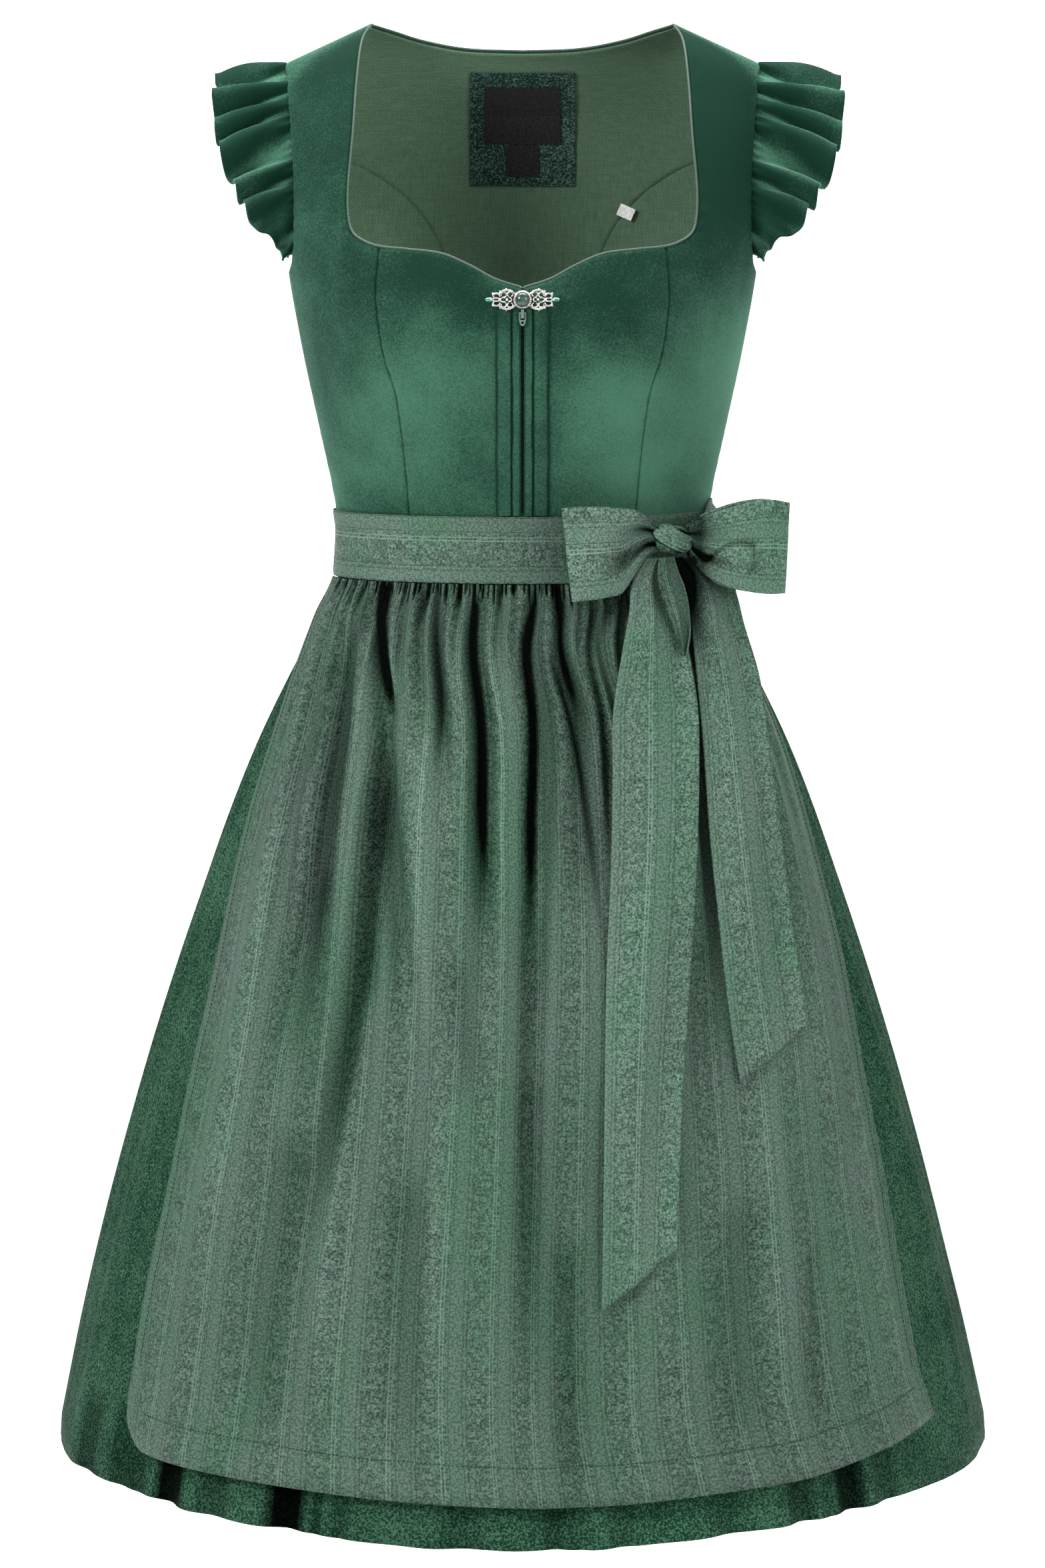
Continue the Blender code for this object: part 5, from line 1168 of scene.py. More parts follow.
def gather(across, height):
    """Shirring under the band: uneven ripples, each fading at its own depth, and short wedges between folds.

    Gives how far the cloth stands out, in metres, and the shade painted into its hollows, wedges and gaps.
    """
    drop = BAND_FOOT - height
    length = 0.0105 + 0.0040 * turns(13.7, across, 1.0) + 0.0025 * turns(31.3, across)
    fade = 1 - ease((drop / length - 0.45) / 0.75)
    drift = 1.9 * turns(7.3, across) + 1.3 * turns(17.1, across, 0.7) + 45 * drop * turns(19, across)
    coarse = turns(57, across, drift)
    fine = turns(121, across, 2.0 * drift)
    size = 0.70 + 0.30 * turns(29.7, across, 2.0)
    lift = fade * size * (0.0011 * coarse + 0.0006 * fine)
    wedge_length = 0.017 + 0.007 * turns(9.1, across, 2.5)
    wedge = np.clip(turns(22, across, 0.8 * drift), 0, 1) ** 3 * bell(drop - 0.006, wedge_length)
    side = ease(np.minimum(across, 1 - across) / 0.06)
    gaps = np.clip(2.8 * (turns(89, across, drift) + 0.6 * turns(131, across, 1.7 * drift) - 0.35), 0, 1)
    gaps = gaps * (1 - ease((drop - 0.0045 - 0.002 * turns(37, across)) / 0.004))
    # Painted shade in the ripples' hollows, the wedges and the gaps
    shade = side * (fade * np.clip(-0.7 * coarse - 0.5 * fine, 0, 1) + 0.75 * wedge + gaps)
    return side * (lift - 0.0026 * wedge - 0.0016 * gaps), shade


def crease(across, height):
    """Sum of the creases' bells, each along its own curve: metres deep and share of shade."""
    deep = np.zeros(across.shape)
    shade = np.zeros(across.shape)
    for row in CREASES:
        t = np.clip((row.start - height) / (row.start - row.end), 0, 1)
        centre = smooth((0, 0.5, 1), (row.top, row.middle, row.foot), t)
        shape = bell(across - centre, row.half_width) * ease(t / 0.16) * ease((1 - t) / 0.42)
        deep += row.depth * shape
        shade += row.shade * (np.clip(1.7 * shape - 0.35, 0, 1) if row.depth > 0.012 else shape)
    return deep, shade


def pucker(across, height):
    """Slanting wrinkles beside the side hems, as a wave from -1 to 1 that fades away from them."""
    beside = np.minimum(across, 1 - across)
    slant = np.sin(height / 0.0052 + 70 * beside + 2.0 * np.sin(height / 0.031))
    low = ease((-0.60 - height) / 0.10) * (0.6 + 0.4 * np.sin(height / 0.043))
    return slant * bell(beside - 0.030, 0.026) * low


def apron_sag(across, height):
    """How far the apron stands from the skirt's ridges, and its shade."""
    across, height = np.broadcast_arrays(across, height)
    flat = 0.25 + 0.75 * ease(np.minimum(across, 1 - across) / 0.10)
    reach = column(APRON, "reach", height) * flat
    relief = apron_relief(across, height)
    deep, shade = crease(across, height)
    lift, hollow_shade = gather(across, height)
    swell = 0.0012 * np.sin(23 * across + 9 * height) * np.sin(31 * height + 5 * across)
    swell = swell * ease((-0.42 - height) / 0.2)
    wrinkle = pucker(across, height)
    folded = np.maximum(relief * reach - deep, 0.04 * reach) + lift + swell + 0.0008 * wrinkle
    out = np.maximum(folded, 0.0001) + APRON_CLEAR + APRON_CLOTH
    edge = APRON_HEM + hem_rise(across)
    out = out + 0.0005 * ease((HEM_STITCH - (height - edge)) / 0.003)
    out = out + 0.0004 * ease((SIDE_STITCH / APRON_CUT[1] - np.minimum(across, 1 - across)) / 0.003)
    # Painted shade in the apron's folds, creases, shirring hollows and puckers, and painted light on its
    # ridge creases and puckers
    low = 0.32 * (1 - relief) * ease((-0.372 - height) / 0.02)
    return out, np.clip(low + shade + hollow_shade + 0.10 * wrinkle, -1, 1)


def apron_outer(across, height):
    """Points in front of the skirt's ring, out along its level direction."""
    across, height = np.broadcast_arrays(across, height)
    out, _ = apron_sag(across, height)
    place = skirt_place(height)
    turn = apron_turn(across, height)
    return ring_point(SKIRT, turn, place) + out_of_ring(turn, place) * out[..., None]


def apron_height(across, share):
    top = BAND_FOOT - 0.0002
    return top - share * (top - APRON_HEM - hem_rise(across))


def make_apron():
    """Fine columns for the shirring on top, joined row to row with the wider columns below."""
    wide, ratio, fine_rows, rows = APRON_COLUMNS, SHIRRING_FINER, SHIRRING_ROWS, APRON_ROWS
    across = np.linspace(0, 1, wide)[:, None]
    fine = np.linspace(0, 1, (wide - 1) * ratio + 1)[:, None]
    share = SHIRRING_SHARE + (1 - SHIRRING_SHARE) * np.linspace(0, 1, rows) ** 1.25
    upper = np.linspace(0, SHIRRING_SHARE, fine_rows)
    low_h, top_h = apron_height(across, share[None, ::-1]), apron_height(fine, upper[None, ::-1])
    low, top = apron_outer(across, low_h), apron_outer(fine, top_h)
    edge = top[:, 0].copy()
    low_edge = low[:, -1]
    snapped = on_line(low_edge, across[:, 0], fine[:, 0])
    top[:, 0] = np.where((np.arange(len(fine)) % ratio == 0)[:, None], snapped, 0.5 * (edge + snapped))
    low, low_h = low[:, :-1], low_h[:, :-1]
    faces = grid_faces(wide, rows - 1)
    first = low.shape[0] * low.shape[1]
    upper_faces = grid_faces(len(fine), fine_rows, first)
    i = np.arange(wide - 1)
    below = i * (rows - 1) + rows - 2
    above = first + i * ratio * fine_rows
    step = fine_rows
    seam = np.stack([below, below + rows - 1, *(above + k * step for k in range(ratio, -1, -1))], axis=1)
    points = np.concatenate([low.reshape(-1, 3), top.reshape(-1, 3)])
    maps = [
        np.stack([np.broadcast_to(a * APRON_CUT[0], h.shape), h - BAND_FOOT], axis=-1).reshape(-1, 2)
        for a, h in ((across, low_h), (fine, top_h))
    ]
    shade = np.concatenate([apron_sag(a, h)[1].ravel() for a, h in ((across, low_h), (fine, top_h))])
    faces = [faces, upper_faces, seam]
    obj = put("apron_cloth", points, faces, "apron_jacquard", np.concatenate(maps), shade=shade)
    thicken(obj, APRON_CLOTH)
    fit(obj, ("apron",))
    make_apron_stitches()


def make_apron_stitches():
    """Rows of stitches above the hem and inside both side edges."""
    share = np.linspace(0.03, 0.985, 400)
    height = np.linspace(-0.385, APRON_HEM + 0.050, 400)
    from_side = SIDE_STITCH / APRON_CUT[1] + 0 * height
    rows = (
        ("hem", share, APRON_HEM + hem_rise(share) + HEM_STITCH),
        ("right", from_side, height),
        ("left", 1.0 - from_side, height),
    )
    for label, across, height in rows:
        line = apron_outer(across, height)
        beside = apron_outer(across + 1e-3, height) - line
        above = apron_outer(across, height + 1e-3) - line
        out = unit(np.cross(beside, above))
        line = line + out * 0.0001
        stitches(f"apron_stitch_{label}", line, out, APRON_STITCH_PITCH, APRON_THREAD)


# Apron band, ties and bow


def band_point(turn, height, out):
    """Point outside the waist, on bodice or skirt, whichever is there."""
    turn, height = np.broadcast_arrays(np.asarray(turn, float), np.asarray(height, float))
    on_skirt = ring_point(SKIRT, turn, skirt_place(np.minimum(height, WAIST)))
    place = np.interp(height, [row.height for row in BODICE[:8]], [row.place for row in BODICE[:8]])
    base = np.where((height < WAIST)[..., None], on_skirt, ring_point(BODICE, turn, place))
    base[..., 2] = height
    return base + out_of_ring(turn, np.zeros_like(turn)) * np.asarray(out)[..., None]


BAND_CUT = (0.345, 0.045)
TIE_CUT = (0.075, 0.036)
LOOP_CUT = (0.16, 0.060)
TIE_MIDDLE = -0.3448
TIE_SPAN_DEG = (48, 90)  # from the knot to the side
LOOP_FROM_EDGE = 0.0030  # from the knot's outline inwards to where a loop starts
BAND_SHADE = -0.22  # the flat band, ties and bow catch more light than the gathered apron
TAIL_SHADE = -0.34
BOW_SHADE = -0.64


def strip(name, points, flat, held, rests_on, shade):
    """Strip of the apron's cloth, with its stripes along it: its map has the distance across it first."""
    uv = cloth_map(points)[..., ::-1] + np.array([0.0018, 0.0])
    cloth(name, points, APRON_FINISH, flat, held, (rests_on,), uv, shade=shade)


def make_band():
    """Flat strips round the waist, their long edges rounded under and their middles a little uneven."""
    side = math.radians(BAND_END_DEG)
    level = np.linspace(0, 1, 16)[None, :]
    height = BAND_FOOT + (BAND_TOP - BAND_FOOT) * (0.5 + 0.5 * np.sin((level - 0.5) * math.pi))
    strips = (("apron_band", -side, side, 0.0003), ("tie_back", side, 2 * math.pi - side, 0.0009))
    for name, first, last, wave in strips:
        turn = np.linspace(first + 0.001, last - 0.001, 150)[:, None]
        round_under = 0.0006 * np.abs(2 * level - 1) ** 8
        uneven = wave * (1 + np.sin(11 * turn + 5 * level)) * np.sin(math.pi * level)
        points = band_point(turn, height, BAND_OUT + uneven - round_under)
        # Painted light on the band, changing a little along it, and painted shade along its top edge where
        # it rounds under
        shade = BAND_SHADE + 0.12 * np.sin(3.1 * turn + 0.6) + 0.5 * bell(1 - level, 0.05)
        strip(name, points, BAND_CUT, "stretched", "front_left", shade)
    make_tie_front()


def make_tie_front():
    """End of the tie from the back, drawn together in ripples towards the knot."""
    share = np.linspace(0, 1, 60)[:, None]
    level = np.linspace(-1, 1, 20)[None, :]
    half = 0.0080 + 0.0088 * ease(share * 1.2)
    rise = 0.0080 * ease(share / 0.8) * (1 - ease((share - 0.88) / 0.12))
    height = TIE_MIDDLE + rise + half * level
    ripple = 0.0012 * np.cos(level * math.pi * 1.5) ** 2 * share
    ripple = ripple + 0.0010 * np.cos(level * math.pi * 3.0 + 1) ** 2 * (1 - share)
    out = BAND_OUT + 0.0010 + APRON_CLOTH + ripple + 0.0087 * (1 - share) ** 1.6
    out = out - 0.0036 * ease((height - BAND_TOP + 0.001) / 0.006) * ease(share / 0.5)
    first, last = TIE_SPAN_DEG
    points = band_point(np.radians(first + (last - first) * share), height, out)
    # Painted shade towards the knot, over the tie's painted light
    shade = BAND_SHADE + 0.9 * (1 - share) ** 2 + 0 * level
    strip("tie_front", points, TIE_CUT, "stretched", "apron_band", shade)


def loop_grid(table, end, side, lean):
    """A bow loop: the tie runs out from the knot in front, turns round at its end and comes back behind."""
    along = np.linspace(0, 1, 90)[:, None]
    level = np.linspace(-1, 1, 30)[None, :]
    start = KNOT + np.array([side * (KNOT_HALF[0] - LOOP_FROM_EDGE), 0.0, 0.0])
    axis = np.asarray(end) - start
    out = np.sin(math.pi * along) ** 0.8
    top, foot = column(table, "top", out), column(table, "foot", out)
    forward = np.cross(unit(axis), [0, 0, side])
    pinch = 1 - ease(out * 1.7)
    pleats = (0.0016 * np.cos(level * math.pi * 2.5) + 0.0007 * np.cos(level * math.pi * 6 + 1)) * pinch
    dip = -0.0020 * bell(level - 0.25 + 0.5 * out, 0.22) * ease(out / 0.3) * (1 - ease((out - 0.45) / 0.5))
    sag = 0.0012 * np.sin(3.0 * level + 2.5 * out) * ease(out / 0.4)
    depth = column(table, "open", out) * np.cos(math.pi * along) + pleats
    depth = depth + (dip + sag) * np.sign(0.5 - along) * np.abs(2 * along - 1) ** 0.5
    height = (top + foot) / 2 + (top - foot) / 2 * level
    centre = start + axis * out[..., None] + forward * depth[..., None]
    slant = lean * (0.5 - 0.5 * level) * out**3
    return centre + np.stack([slant, 0 * height, height], axis=-1)


def loop_shade(label, level, out):
    """Painted shade at the knot, between its pleats and as a dent on each loop, and a painted highlight on
    the left one.
    """
    pleat = np.clip(-np.cos(level * math.pi * 2.5), 0, 1) * (1 - ease(out * 1.5))
    at_knot = 0.9 * bell(out, 0.16)
    if label == "right":
        painted_dent = 1.2 * bell(out - 0.34, 0.20) * bell(level + 0.05 + 0.3 * out, 0.24)
        return BOW_SHADE + pleat + at_knot + painted_dent
    pleat = pleat * (1 - 0.7 * ease(level / 0.3))
    painted_dent = bell(level - 0.10 + at_knot, 0.08) * ease((out - 0.03) / 0.1) * (1 - ease((out - 0.48) / 0.1))
    bend = bell(out - 0.54 + 0.25 * (level + 0.2) ** 2, 0.035)
    painted_dent = painted_dent + 0.8 * bend * ease((level + 0.75) / 0.25) * (1 - ease((level - 0.02) / 0.14))
    # Painted highlight on the left loop's lobe below its dent
    painted_dent = painted_dent - 0.35 * bell(out - 0.36, 0.11) * bell(level + 0.30, 0.24)
    return BOW_SHADE + pleat + at_knot + painted_dent + 0.5 * bell(out - 0.06, 0.06)


# Each loop: its table, where it ends, the way it runs, and how far its end leans at the foot
LOOPS = (
    ("right", LOOP_RIGHT, LOOP_RIGHT_END, -1.0, 0.0070),
    ("left", LOOP_LEFT, LOOP_LEFT_END, 1.0, -0.0028),
)


def make_bow():
    for label, table, end, side, lean in LOOPS:
        points = loop_grid(table, end, side, lean)
        points = points + normals(points) * APRON_CLOTH / 2
        level = np.linspace(-1, 1, points.shape[1])[None, :]
        out = np.sin(math.pi * np.linspace(0, 1, len(points)))[:, None]
        shade = loop_shade(label, level, out)
        strip(f"bow_loop_{label}", points, LOOP_CUT, "folded", "bow_knot", shade)
    make_knot()
    make_tails()


KNOT_GRID = (56, 96)
WRAP = 0.011  # metres of cloth for each unit of the knot's own map


def make_knot():
    """Rounded block with a pleated strip slanting over its front and a small roll beside it."""
    rows, columns = KNOT_GRID
    polar = np.linspace(0.02, math.pi - 0.02, rows)[None, :]
    turn = circle(columns)[:, None]
    direction = [np.sin(polar) * np.cos(turn), np.sin(polar) * np.sin(turn), np.cos(polar) + 0 * turn]
    direction = np.stack(direction, axis=-1)
    square = (np.abs(direction) ** 3).sum(axis=-1, keepdims=True) ** (-1 / 3)
    down = 0.80 * direction[..., 0] - 0.60 * direction[..., 2]
    beside = 0.60 * direction[..., 0] + 0.80 * direction[..., 2] - 0.10 - 0.25 * down**2
    strip = 1 - ease((np.abs(beside) - 0.48) / 0.10)
    pleat = np.cos(12 * beside + 1.5 * down) * strip
    roll = bell(np.hypot(direction[..., 0] + 0.66, direction[..., 2] - 0.10), 0.30)
    swell = 0.86 + 0.14 * strip + 0.030 * pleat + 0.15 * roll
    points = KNOT + KNOT_HALF * direction * square * swell[..., None]
    uv = np.stack([WRAP * beside, WRAP * down], axis=-1)
    # Painted shade in the pleats' hollows, just outside the strip's edges and over the side towards the
    # wearer's left; the rest painted lighter like the bow
    shade = BOW_SHADE * 0.8 - 0.4 * np.clip(pleat, -1, 0) + 1.1 * bell(np.abs(beside) - 0.58, 0.12)
    shade = shade + (0.35 + 0.6 * (1 - strip)) * ease((direction[..., 0] - 0.1) / 0.5)
    points, faces = points.reshape(-1, 3), closed_faces(columns, rows)
    obj = welded(put("bow_knot_wrapped", points, faces, "apron_jacquard", uv, shade=shade))
    fit(obj, ("bow_knot",))


def envelope_turn(across, height):
    """Turn at which the skirt ring at a height is this far from the centre."""
    return ring_turn(SKIRT, across, skirt_place(height))


def tail_grid(table, level, share, cut_drop, waist_lift, ripple):
    """Tie end that hangs over the apron, cut on a slant at its foot, with soft lengthwise folds."""
    height = table[0].height + (table[-1].height - table[0].height) * share[None, :]
    middle, half, out = (column(table, field, height) for field in ("middle", "half", "out"))
    across = middle + half * level[:, None]
    height = height - cut_drop * (0.5 - 0.5 * level[:, None]) * ease((share[None, :] - 0.70) / 0.30)
    below_band = np.minimum(height, BAND_FOOT - 0.0007)
    lift = waist_lift * ease((height + 0.47) / 0.11)
    wave = TAIL_WAVE * (1 + np.cos(level[:, None] * 4.2 + 0.8)) + ripple
    away = column(APRON, "reach", below_band) + APRON_CLEAR + 2 * APRON_CLOTH + out + lift + wave
    place = skirt_place(np.minimum(height, WAIST))
    turn = envelope_turn(across, below_band)
    for _ in range(4):
        outward = out_of_ring(turn, place) * away[..., None]
        turn = envelope_turn(across - outward[..., 0], below_band)
    point = ring_point(SKIRT, turn, place) + outward
    point[..., 2] = height
    return point


# dark_start is the share down each end at which its painted shade near the knot fades, and darker is painted
# shade over the whole end
TieEnd = namedtuple("TieEnd", "label table cut_drop waist_lift flat area dark_start darker rows")
TIE_ENDS = rows_of(
    TieEnd,
    ("long", LONG_TAIL, LONG_CUT, 0.0060, (0.060, 0.475), 0.0262, -0.06, 0.0, 120),
    ("short", SHORT_TAIL, SHORT_CUT, 0.0010, (0.058, 0.345), 0.0190, 0.01, 0.0, 120),
    ("fold", FOLD_LEAF, 0.0, 0.0060, (0.024, 0.068), 0.0012, -0.10, 0.50, 40),
)
TIE_COLUMNS = 34


def make_tails():
    for label, table, cut_drop, waist_lift, flat, area, dark_start, darker, rows in TIE_ENDS:
        level = np.linspace(-1, 1, TIE_COLUMNS)
        share = np.linspace(0, 1, rows) ** 1.15
        up, down = level[:, None], share[None, :]
        ripple = 0.0011 * np.cos(up * 9.0 + 1.0) * (1 - ease(down / 0.18))
        ripple = ripple + 0.0007 * np.sin(2.2 * up + 11 * down) * ease(down / 0.2)
        points = tail_grid(table, level, share, cut_drop, waist_lift, ripple)[:, ::-1]
        uv = np.stack([up * flat[0] / 2 + 0 * down, points[..., 2]], axis=-1)
        # Painted shade near the knot, faint darker and lighter streaks, and on the short end a painted
        # shadow along its left edge near the top
        knot_shadow = 1 - ease((down - dark_start) / 0.12)
        shade = TAIL_SHADE + 1.2 * knot_shadow + 0.10 * np.sin(2.2 * up + 9 * down + 1.0) + darker
        if label == "short":
            shade = shade + 1.3 * bell(up + 1, 0.5) * (1 - ease((down - 0.12) / 0.12))
        name, values = f"bow_tail_{label}", {"area": area, "shade": shade[:, ::-1]}
        cloth(name, points, APRON_FINISH, flat, "hung", ("bow_knot",), uv, **values)


# Labels inside the back, whose solids show as they are
LABELS = (
    # The label's patch is the skirt's cloth with painted light
    ("label_patch", "patch_jacquard_painted_light"),
    ("label_main", "label_weave"),
    ("label_small", "label_weave"),
    ("size_tag", "tag_weave"),
)


# Materials


def adding(operation, turned_round=False):
    """A sum between two levels, or a level and a number, that adds its Math node."""

    def added(self, other):
        pair = (other, self) if turned_round else (self, other)
        return self.nodes.math(operation, *pair)

    return added


class Level:
    """A node's output, which sums can be written with."""

    def __init__(self, nodes, socket):
        self.nodes = nodes
        self.socket = socket

    __add__ = __radd__ = adding("ADD")
    __sub__ = adding("SUBTRACT")
    __rsub__ = adding("SUBTRACT", turned_round=True)
    __mul__ = __rmul__ = adding("MULTIPLY")
    __truediv__ = adding("DIVIDE")

    def __abs__(self):
        return self.nodes.math("ABSOLUTE", self)


def socket_name(word):
    return word.replace("_", " ").title().replace("Ior", "IOR")


class Nodes:
    """Adds nodes to a tree. An input may be a number, a colour or a level."""

    def __init__(self, tree):
        self.tree = tree

    def add(self, kind, inputs=(), **settings):
        node = self.tree.nodes.new(kind)
        for name, value in settings.items():
            setattr(node, name, value)
        for key, value in dict(inputs).items():
            self.fill(node.inputs[key], value)
        return node

    def fill(self, socket, value):
        if isinstance(value, Level):
            self.tree.links.new(value.socket, socket)
        elif isinstance(value, tuple) and socket.type == "RGBA":
            socket.default_value = (*value, 1.0)
        else:
            socket.default_value = value

    def level(self, kind, output, inputs, **settings):
        return Level(self, self.add(kind, inputs, **settings).outputs[output])

    def math(self, operation, *values):
        return self.level("ShaderNodeMath", 0, enumerate(values), operation=operation)

    def mix(self, share, first, second):
        return self.level("ShaderNodeMix", 2, {0: share, 6: first, 7: second}, data_type="RGBA")

    def noise(self, vector, scale, detail=2.0, rough=0.5):
        inputs = {"Vector": vector, "Scale": scale, "Detail": detail, "Roughness": rough}
        return self.level("ShaderNodeTexNoise", "Fac", inputs)

    def between(self, value, low, high, start=0.0, end=1.0, kind="SMOOTHSTEP"):
        """Value from low to high laid onto start to end."""
        inputs = {"Value": value, "From Min": low, "From Max": high, "To Min": start, "To Max": end}
        return self.level("ShaderNodeMapRange", "Result", inputs, interpolation_type=kind)

    def within(self, value, inner, outer):
        return self.between(value, inner, outer, 1.0, 0.0)

    def mapped(self, vector, **how):
        inputs = {key.title(): value for key, value in how.items()}
        return self.level("ShaderNodeMapping", "Vector", {"Vector": vector, **inputs})

    def lit(self, colour, value):
        return self.level("ShaderNodeHueSaturation", "Color", {"Value": value, "Color": colour})

    def bump(self, height, distance, strength):
        inputs = {"Height": height, "Distance": distance, "Strength": strength}
        return self.level("ShaderNodeBump", "Normal", inputs)

    def named(self, attribute):
        return self.level("ShaderNodeAttribute", "Fac", (), attribute_name=attribute)

    def place(self):
        return self.level("ShaderNodeTexCoord", "Object", ())

    def laid(self):
        return self.level("ShaderNodeUVMap", "UV", (), uv_map="cloth")

    def parts(self, vector):
        outputs = self.add("ShaderNodeSeparateXYZ", {"Vector": vector}).outputs
        return [Level(self, outputs[axis]) for axis in "XYZ"]

    def use(self, name, **inputs):
        """The outputs, by name, of a node group with these inputs."""
        inputs = {socket_name(key): value for key, value in inputs.items()}
        node = self.add("ShaderNodeGroup", inputs, node_tree=bpy.data.node_groups[name])
        return {output.name: Level(self, output) for output in node.outputs}


class Look(Nodes):
    """A new Principled material, whose constant sockets are set on the shader itself."""

    def __init__(self, name, roughness, **sockets):
        made = LOOKS[name] = bpy.data.materials.new(name)
        made.use_nodes = True
        super().__init__(made.node_tree)
        self.shader = made.node_tree.nodes["Principled BSDF"]
        self.paint(roughness=roughness, **sockets)

    def paint(self, **sockets):
        for key, value in sockets.items():
            self.fill(self.shader.inputs[socket_name(key)], value)


def group(name, inputs, outputs):
    """Empty node group with named sockets: Nodes, its inputs by name, and the sockets of its outputs."""
    tree = bpy.data.node_groups.new(name, "ShaderNodeTree")
    for label in inputs:
        kind = "NodeSocketVector" if label == "Vector" else "NodeSocketFloat"
        tree.interface.new_socket(label, in_out="INPUT", socket_type=kind)
    for label in outputs:
        tree.interface.new_socket(label, in_out="OUTPUT", socket_type="NodeSocketFloat")
    nodes = Nodes(tree)
    given = {output.name: Level(nodes, output) for output in nodes.add("NodeGroupInput").outputs}
    return nodes, given, nodes.add("NodeGroupOutput").inputs


def make_drift_group():
    """Slow light and dark drift of a cloth: broad noise and a finer one, as a value about 0.5."""
    nodes, given, out = group("cloth drift", ("Vector", "Scale"), ("Value",))
    broad = nodes.noise(given["Vector"], given["Scale"], 2.0, 0.55)
    fine = nodes.noise(given["Vector"], given["Scale"] * 5.3, 2.0, 0.6)
    nodes.fill(out["Value"], broad * 0.7 + fine * 0.3)


def make_weave_group():
    """Plain weave from a map in metres: rows of warp and weft threads that take turns on top."""
    nodes, given, out = group("plain weave", ("Vector", "Pitch"), ("Height",))
    ways = nodes.parts(given["Vector"])[:2]
    warp, weft = (nodes.math("SINE", way / given["Pitch"] * (2 * math.pi)) for way in ways)
    nodes.fill(out["Height"], warp * weft * 0.5 + 0.5)


REPEAT = 0.0355  # width of one repeat of the apron's stripes
TWILL = 0.0015  # pitch of the slanting lines along each thread
Stripe = namedtuple("Stripe", "middle width pale")
# Thin stripes of each repeat: place in it, width in metres, and how pale they are, dark ones below 0
STRIPES = rows_of(
    Stripe,
    (0.03, 0.0004, 0.05), (0.3, 0.0004, 0.05), (0.345, 0.0005, 0.52), (0.39, 0.0004, 0.05),
    (0.86, 0.0006, 0.86), (0.925, 0.0006, 0.76),
)
FLOWER_MIDDLE = 0.63  # place of the flowers in the repeat
FLOWER_GROUP = 0.085  # each group of flowers and the plain stretch after it
FLOWER_PITCH = 0.0142


HERRINGBONE = 0.155  # place of the herringbone's middle in the repeat
DOT_PITCH = 0.0024


def make_jacquard_group():
    """Striped jacquard from a map in metres: herringbone, dotted stripes and a small flower scroll.

    Pale is the share of pale thread on top and Height the relief of the weave.
    """
    nodes, given, out = group("striped jacquard", ("Vector",), ("Pale", "Height"))
    across, along, _ = nodes.parts(given["Vector"])
    place = nodes.math("FRACT", (across + 8 * REPEAT) / REPEAT)

    def distance(middle):
        """Metres from a place in the repeat, the short way round."""
        away = abs(place - middle)
        return nodes.math("MINIMUM", away, 1.0 - away) * REPEAT

    def wave(value, pitch):
        return nodes.math("SINE", value * (2 * math.pi / pitch)) * 0.5 + 0.5

    twill = wave(distance(HERRINGBONE) + along, TWILL)
    cells = nodes.level("ShaderNodeTexVoronoi", "Distance", {"Vector": given["Vector"], "Scale": 300.0})
    curls = nodes.within(abs(cells - 0.34), 0.05, 0.16)
    grain = nodes.between(nodes.noise(given["Vector"], 640.0, 1.0), 0.36, 0.64)
    in_herringbone = nodes.within(distance(HERRINGBONE), 0.0052, 0.0060)
    ground = nodes.level("ShaderNodeMix", 0, {0: in_herringbone, 2: curls, 3: twill}, data_type="FLOAT")
    ground = ground * 0.26 + 0.08 + grain * 0.36

    pale = ground + flowers(nodes, distance(FLOWER_MIDDLE), place, along)
    dots = wave(along, DOT_PITCH) * 0.55 + 0.50
    for stripe in STRIPES:
        on = nodes.within(distance(stripe.middle), stripe.width * 0.45, stripe.width * 0.75)
        pale = pale + on * (dots * stripe.pale - pale * 0.75)
    nodes.fill(out["Pale"], pale)
    nodes.fill(out["Height"], pale * 0.8 + twill * 0.2)


def flowers(nodes, away, place, along):
    """Groups of small flowers along their stripe: rings of petals round a heart, and dark ground beside."""
    in_group = nodes.between(nodes.math("COSINE", along * (2 * math.pi / FLOWER_GROUP)), -0.05, 0.35)
    across = (place - FLOWER_MIDDLE) * REPEAT
    beside = (nodes.math("FRACT", along / FLOWER_PITCH) - 0.5) * FLOWER_PITCH
    far = nodes.math("SQRT", across * across + beside * beside)
    petals = nodes.math("COSINE", nodes.math("ARCTAN2", across, beside) * 6.0) * 0.0009 + 0.0038
    ring = nodes.within(abs(far - petals), 0.0004, 0.0010)
    heart = nodes.within(far, 0.0009, 0.0015)
    drawn = nodes.math("MAXIMUM", ring, heart) * 0.85 - 0.24
    return drawn * in_group * nodes.within(away, 0.0056, 0.0062) * 0.22


def shaded(look, colour, gloss):
    """Colour and gloss under the shade painted on each piece: painted shade darkens deep folds and takes
    their gloss away, and painted light makes flat cloth paler.
    """
    shade = look.named("shade")
    value = look.between(shade, -1.0, 1.0, 2.0, 0.02, "LINEAR")
    gloss = look.between(shade, -0.2, 0.7, gloss, 0.01)
    look.paint(base_color=look.lit(colour, value), specular_ior_level=gloss)


